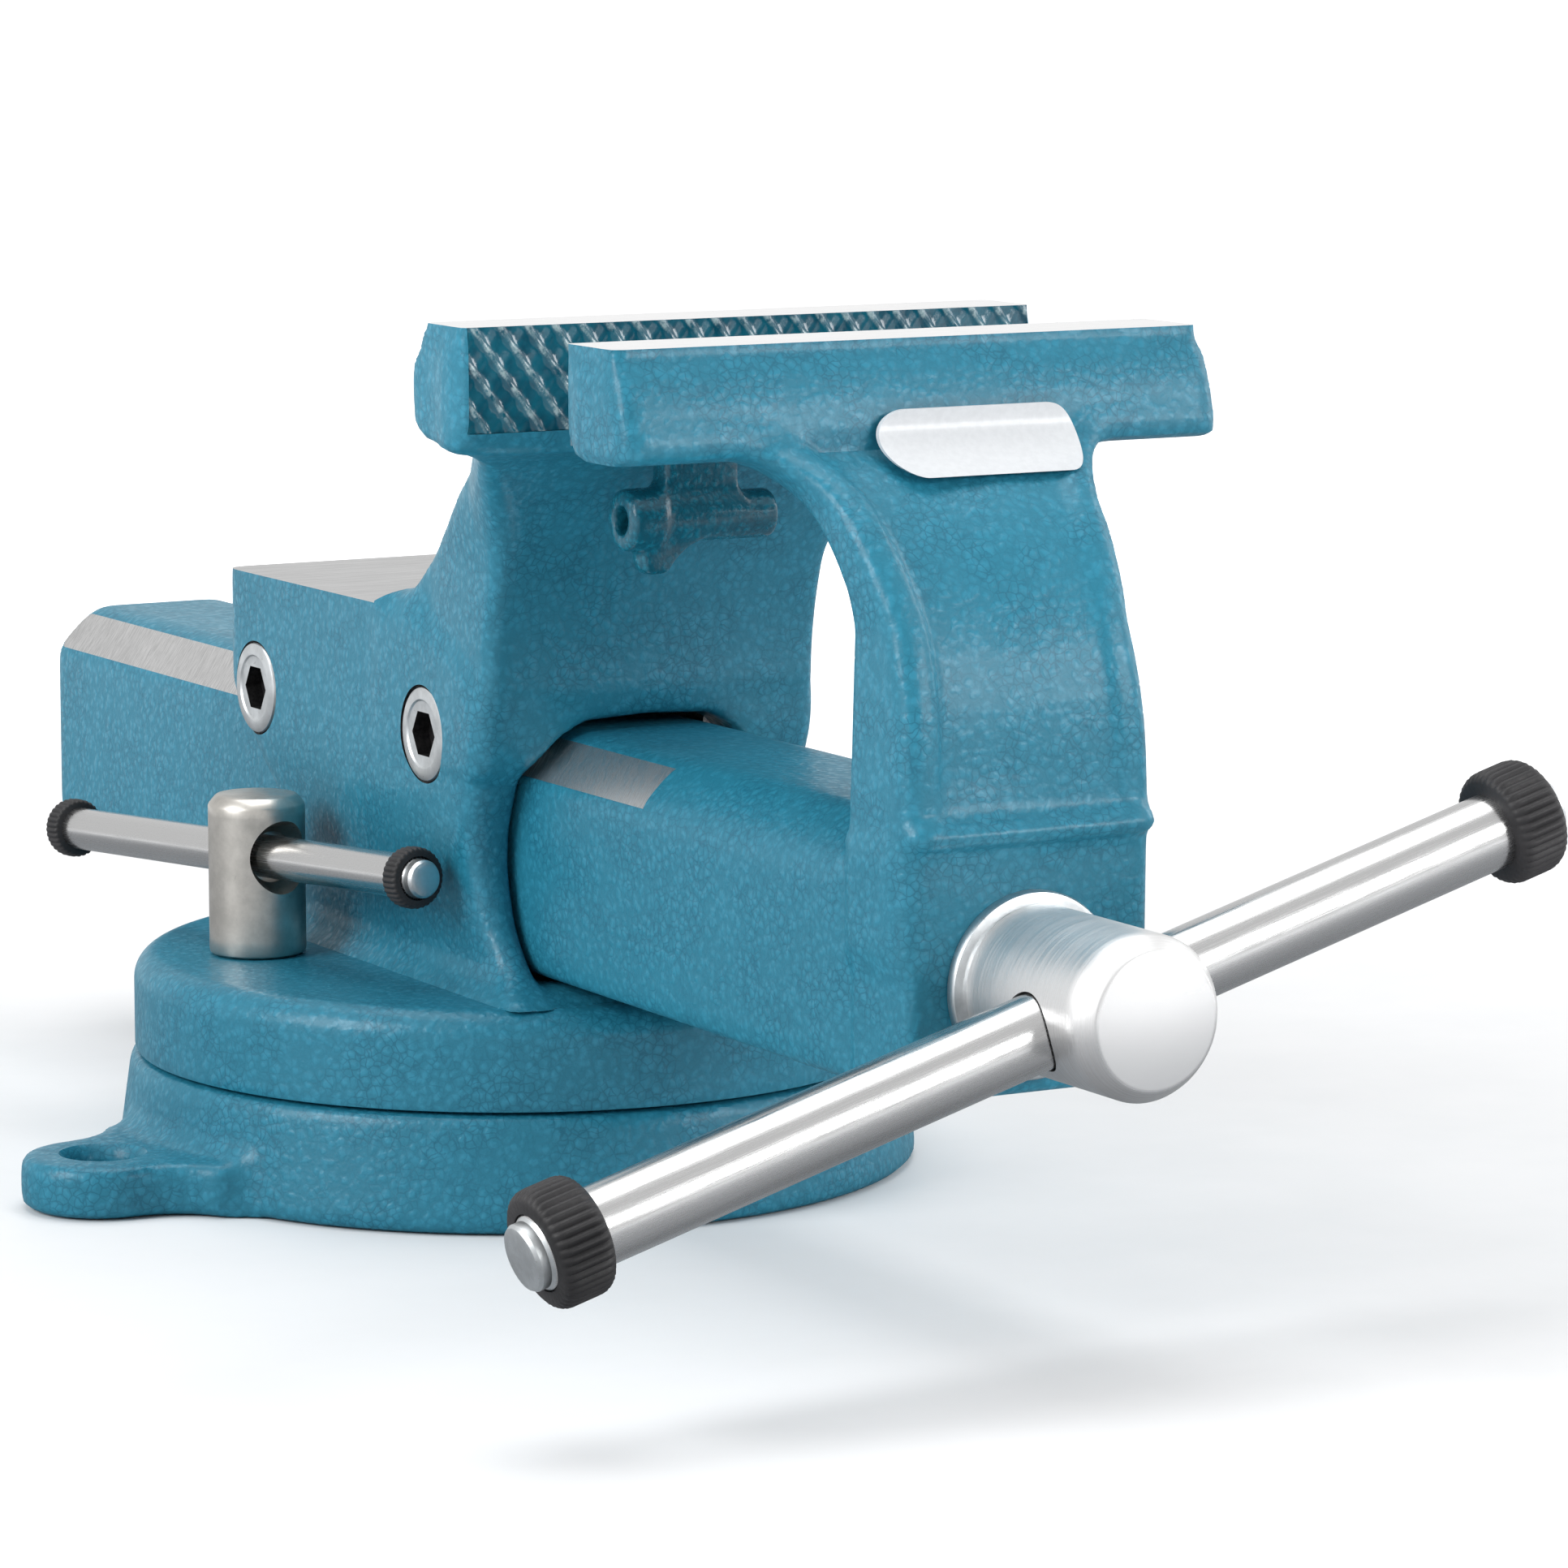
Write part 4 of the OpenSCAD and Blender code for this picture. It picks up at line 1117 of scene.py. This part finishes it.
def ringed_bar(kind, body, place, ends, bar_sizes, ring_sizes):
    """A bar with a ring near each end, where the CAD has them."""
    r, stub, stub_r = bar_sizes
    ring_r, ribs = ring_sizes
    lo, hi = span_along(place, kind + "_bar")
    show(bar(kind + "_bar_round", place, r, lo, hi, stub, stub_r), body, "polished_steel", kind + "_bar")
    for end in ends:
        node = f"{kind}_ring_{end}"
        lo, hi = span_along(place, node)
        show(ring(f"{kind}_grommet_{end}", place, ring_r, r, lo, hi - lo, ribs), body, "rubber", node)


jaw = show(front_jaw(), "moving_jaw", "paint", "front_jaw")
show(vise_body(), "turntable", "paint", "vise_body")
show(base_plate(), "base", "paint", "base_plate")
show(swivel_disc(), "turntable", "paint", "swivel_disc")
pipe_front = pipe_jaw("pipe_jaw_front_casting", "pipe_jaw_front", JAW_TOP - MOVING_JAW_H, 1)
pipe_rear = pipe_jaw("pipe_jaw_rear_casting", "pipe_jaw_rear", JAW_TOP - FIXED_JAW_H, -1)
show(pipe_front, "moving_jaw", "paint", "pipe_jaw_front")
show(pipe_rear, "turntable", "paint", "pipe_jaw_rear")
show(serration("grip_plate_front", MOVING_Y, -1, GRIP_LOW_FRONT + GRIP_GAP), "moving_jaw", "paint")
show(serration("grip_plate_rear", FIXED_Y, 1, GRIP_LOW_REAR + GRIP_GAP), "turntable", "paint")
screw, thread = spindle()
show(screw, "spindle", "turned_steel", "spindle")
show(thread, "spindle", "turned_steel")
show(washer(), "moving_jaw", "zinc", "thrust_washer")
show(lock_screw(), "lock_screw", "satin_nickel", "lock_screw")
for side_name, side in (("left", -1), ("right", 1)):
    heads = guide_screw(side_name, side)
    show(heads[0], "turntable", "zinc", "guide_screws_" + side_name)
    show(heads[1], "turntable", "zinc")

ringed_bar("handle", "handle", handle_matrix(), ("left", "right"), (8, 3.5, 6.9), (12.25, 40))
ringed_bar("lock", "lock_bar", lock_matrix(), ("front", "rear"), (5, 3, 4.3), (7, 32))
show(badge(jaw), "moving_jaw", "paint")

redress(OXIDE_AND_BORE_SHADE, "pivot_bolt", "disc_bolts", "nut_screw", "collar_pin")
redress(ZINC, "pivot_washer", "clamp_nut", "retaining_collar")
redress(STRIP_STEEL, "guide_strip_left", "guide_strip_right")
redress(steel("bronze_nut", 190, 0.3, stretch=(0.05, 1, 0.05), tone=(1, 0.72, 0.42)), "spindle_nut")


# ---- camera, light and floor

def aimed(name, data, at, aim):
    """An object for a camera or a light, looking from one point at another."""
    obj = bpy.data.objects.new(name, data)
    obj.location = at
    obj.rotation_mode = "QUATERNION"
    obj.rotation_quaternion = (aim - at).to_track_quat("-Z", "Y")
    bpy.context.scene.collection.objects.link(obj)
    return obj


def camera():
    """The photo's point of view."""
    azimuth, elevation, distance = math.radians(-29.24), math.radians(8.60), 1.3661
    target = Vector((0, -0.1145, 0.100))
    back = Vector((math.sin(azimuth) * math.cos(elevation), -math.cos(azimuth) * math.cos(elevation),
                   math.sin(elevation)))
    data = bpy.data.cameras.new("camera")
    data.sensor_width = 36
    data.lens = 144.0
    data.shift_x = 0.0185
    data.shift_y = 0.0063
    data.clip_start, data.clip_end = 0.05, 50
    bpy.context.scene.camera = aimed("camera", data, target + back * distance, target)


def area_light(name, at, aim, size, power):
    data = bpy.data.lights.new(name, "AREA")
    data.shape = "RECTANGLE"
    data.size, data.size_y = size
    data.energy = power
    aimed(name, data, Vector(at), Vector(aim))


def studio():
    """Pale world and four soft lights. The world is dimmer for diffuse light than for camera and metal."""
    world = bpy.data.worlds.new("studio")
    bpy.context.scene.world = world
    world.use_nodes = True
    tree = world.node_tree
    back = tree.nodes["Background"]
    back.inputs["Color"].default_value = (1, 1, 1, 1)
    path = tree.nodes.new("ShaderNodeLightPath")
    strength = 0.30
    for ray, more in (("Is Glossy Ray", 0.50), ("Is Camera Ray", 0.70)):
        node = tree.nodes.new("ShaderNodeMath")
        node.operation = "MULTIPLY_ADD"
        tree.links.new(path.outputs[ray], node.inputs[0])
        node.inputs[1].default_value = more
        if isinstance(strength, float):
            node.inputs[2].default_value = strength
        else:
            tree.links.new(strength, node.inputs[2])
        strength = node.outputs[0]
    tree.links.new(strength, back.inputs["Strength"])
    centre = (0, -0.05, 0.1)
    area_light("key", (-1.8, -0.15, 1.05), centre, (1.1, 1.1), 30)
    area_light("front", (1.0, -1.8, 0.8), centre, (1.2, 0.6), 18)
    area_light("right", (1.7, -0.2, 0.8), centre, (0.8, 1.2), 8)
    area_light("top", (0, 0.1, 1.9), centre, (1.4, 1.4), 18)
    bpy.context.scene.view_settings.view_transform = "Standard"


def floor():
    """Wide round floor, a hair below the base."""
    radii = [0, 200, 600, 1500, 4000, 12000, 40000]
    profile = [(r, -0.3) for r in radii]
    lathe("floor", profile, [floor_white()], 48)


camera()
studio()
floor()
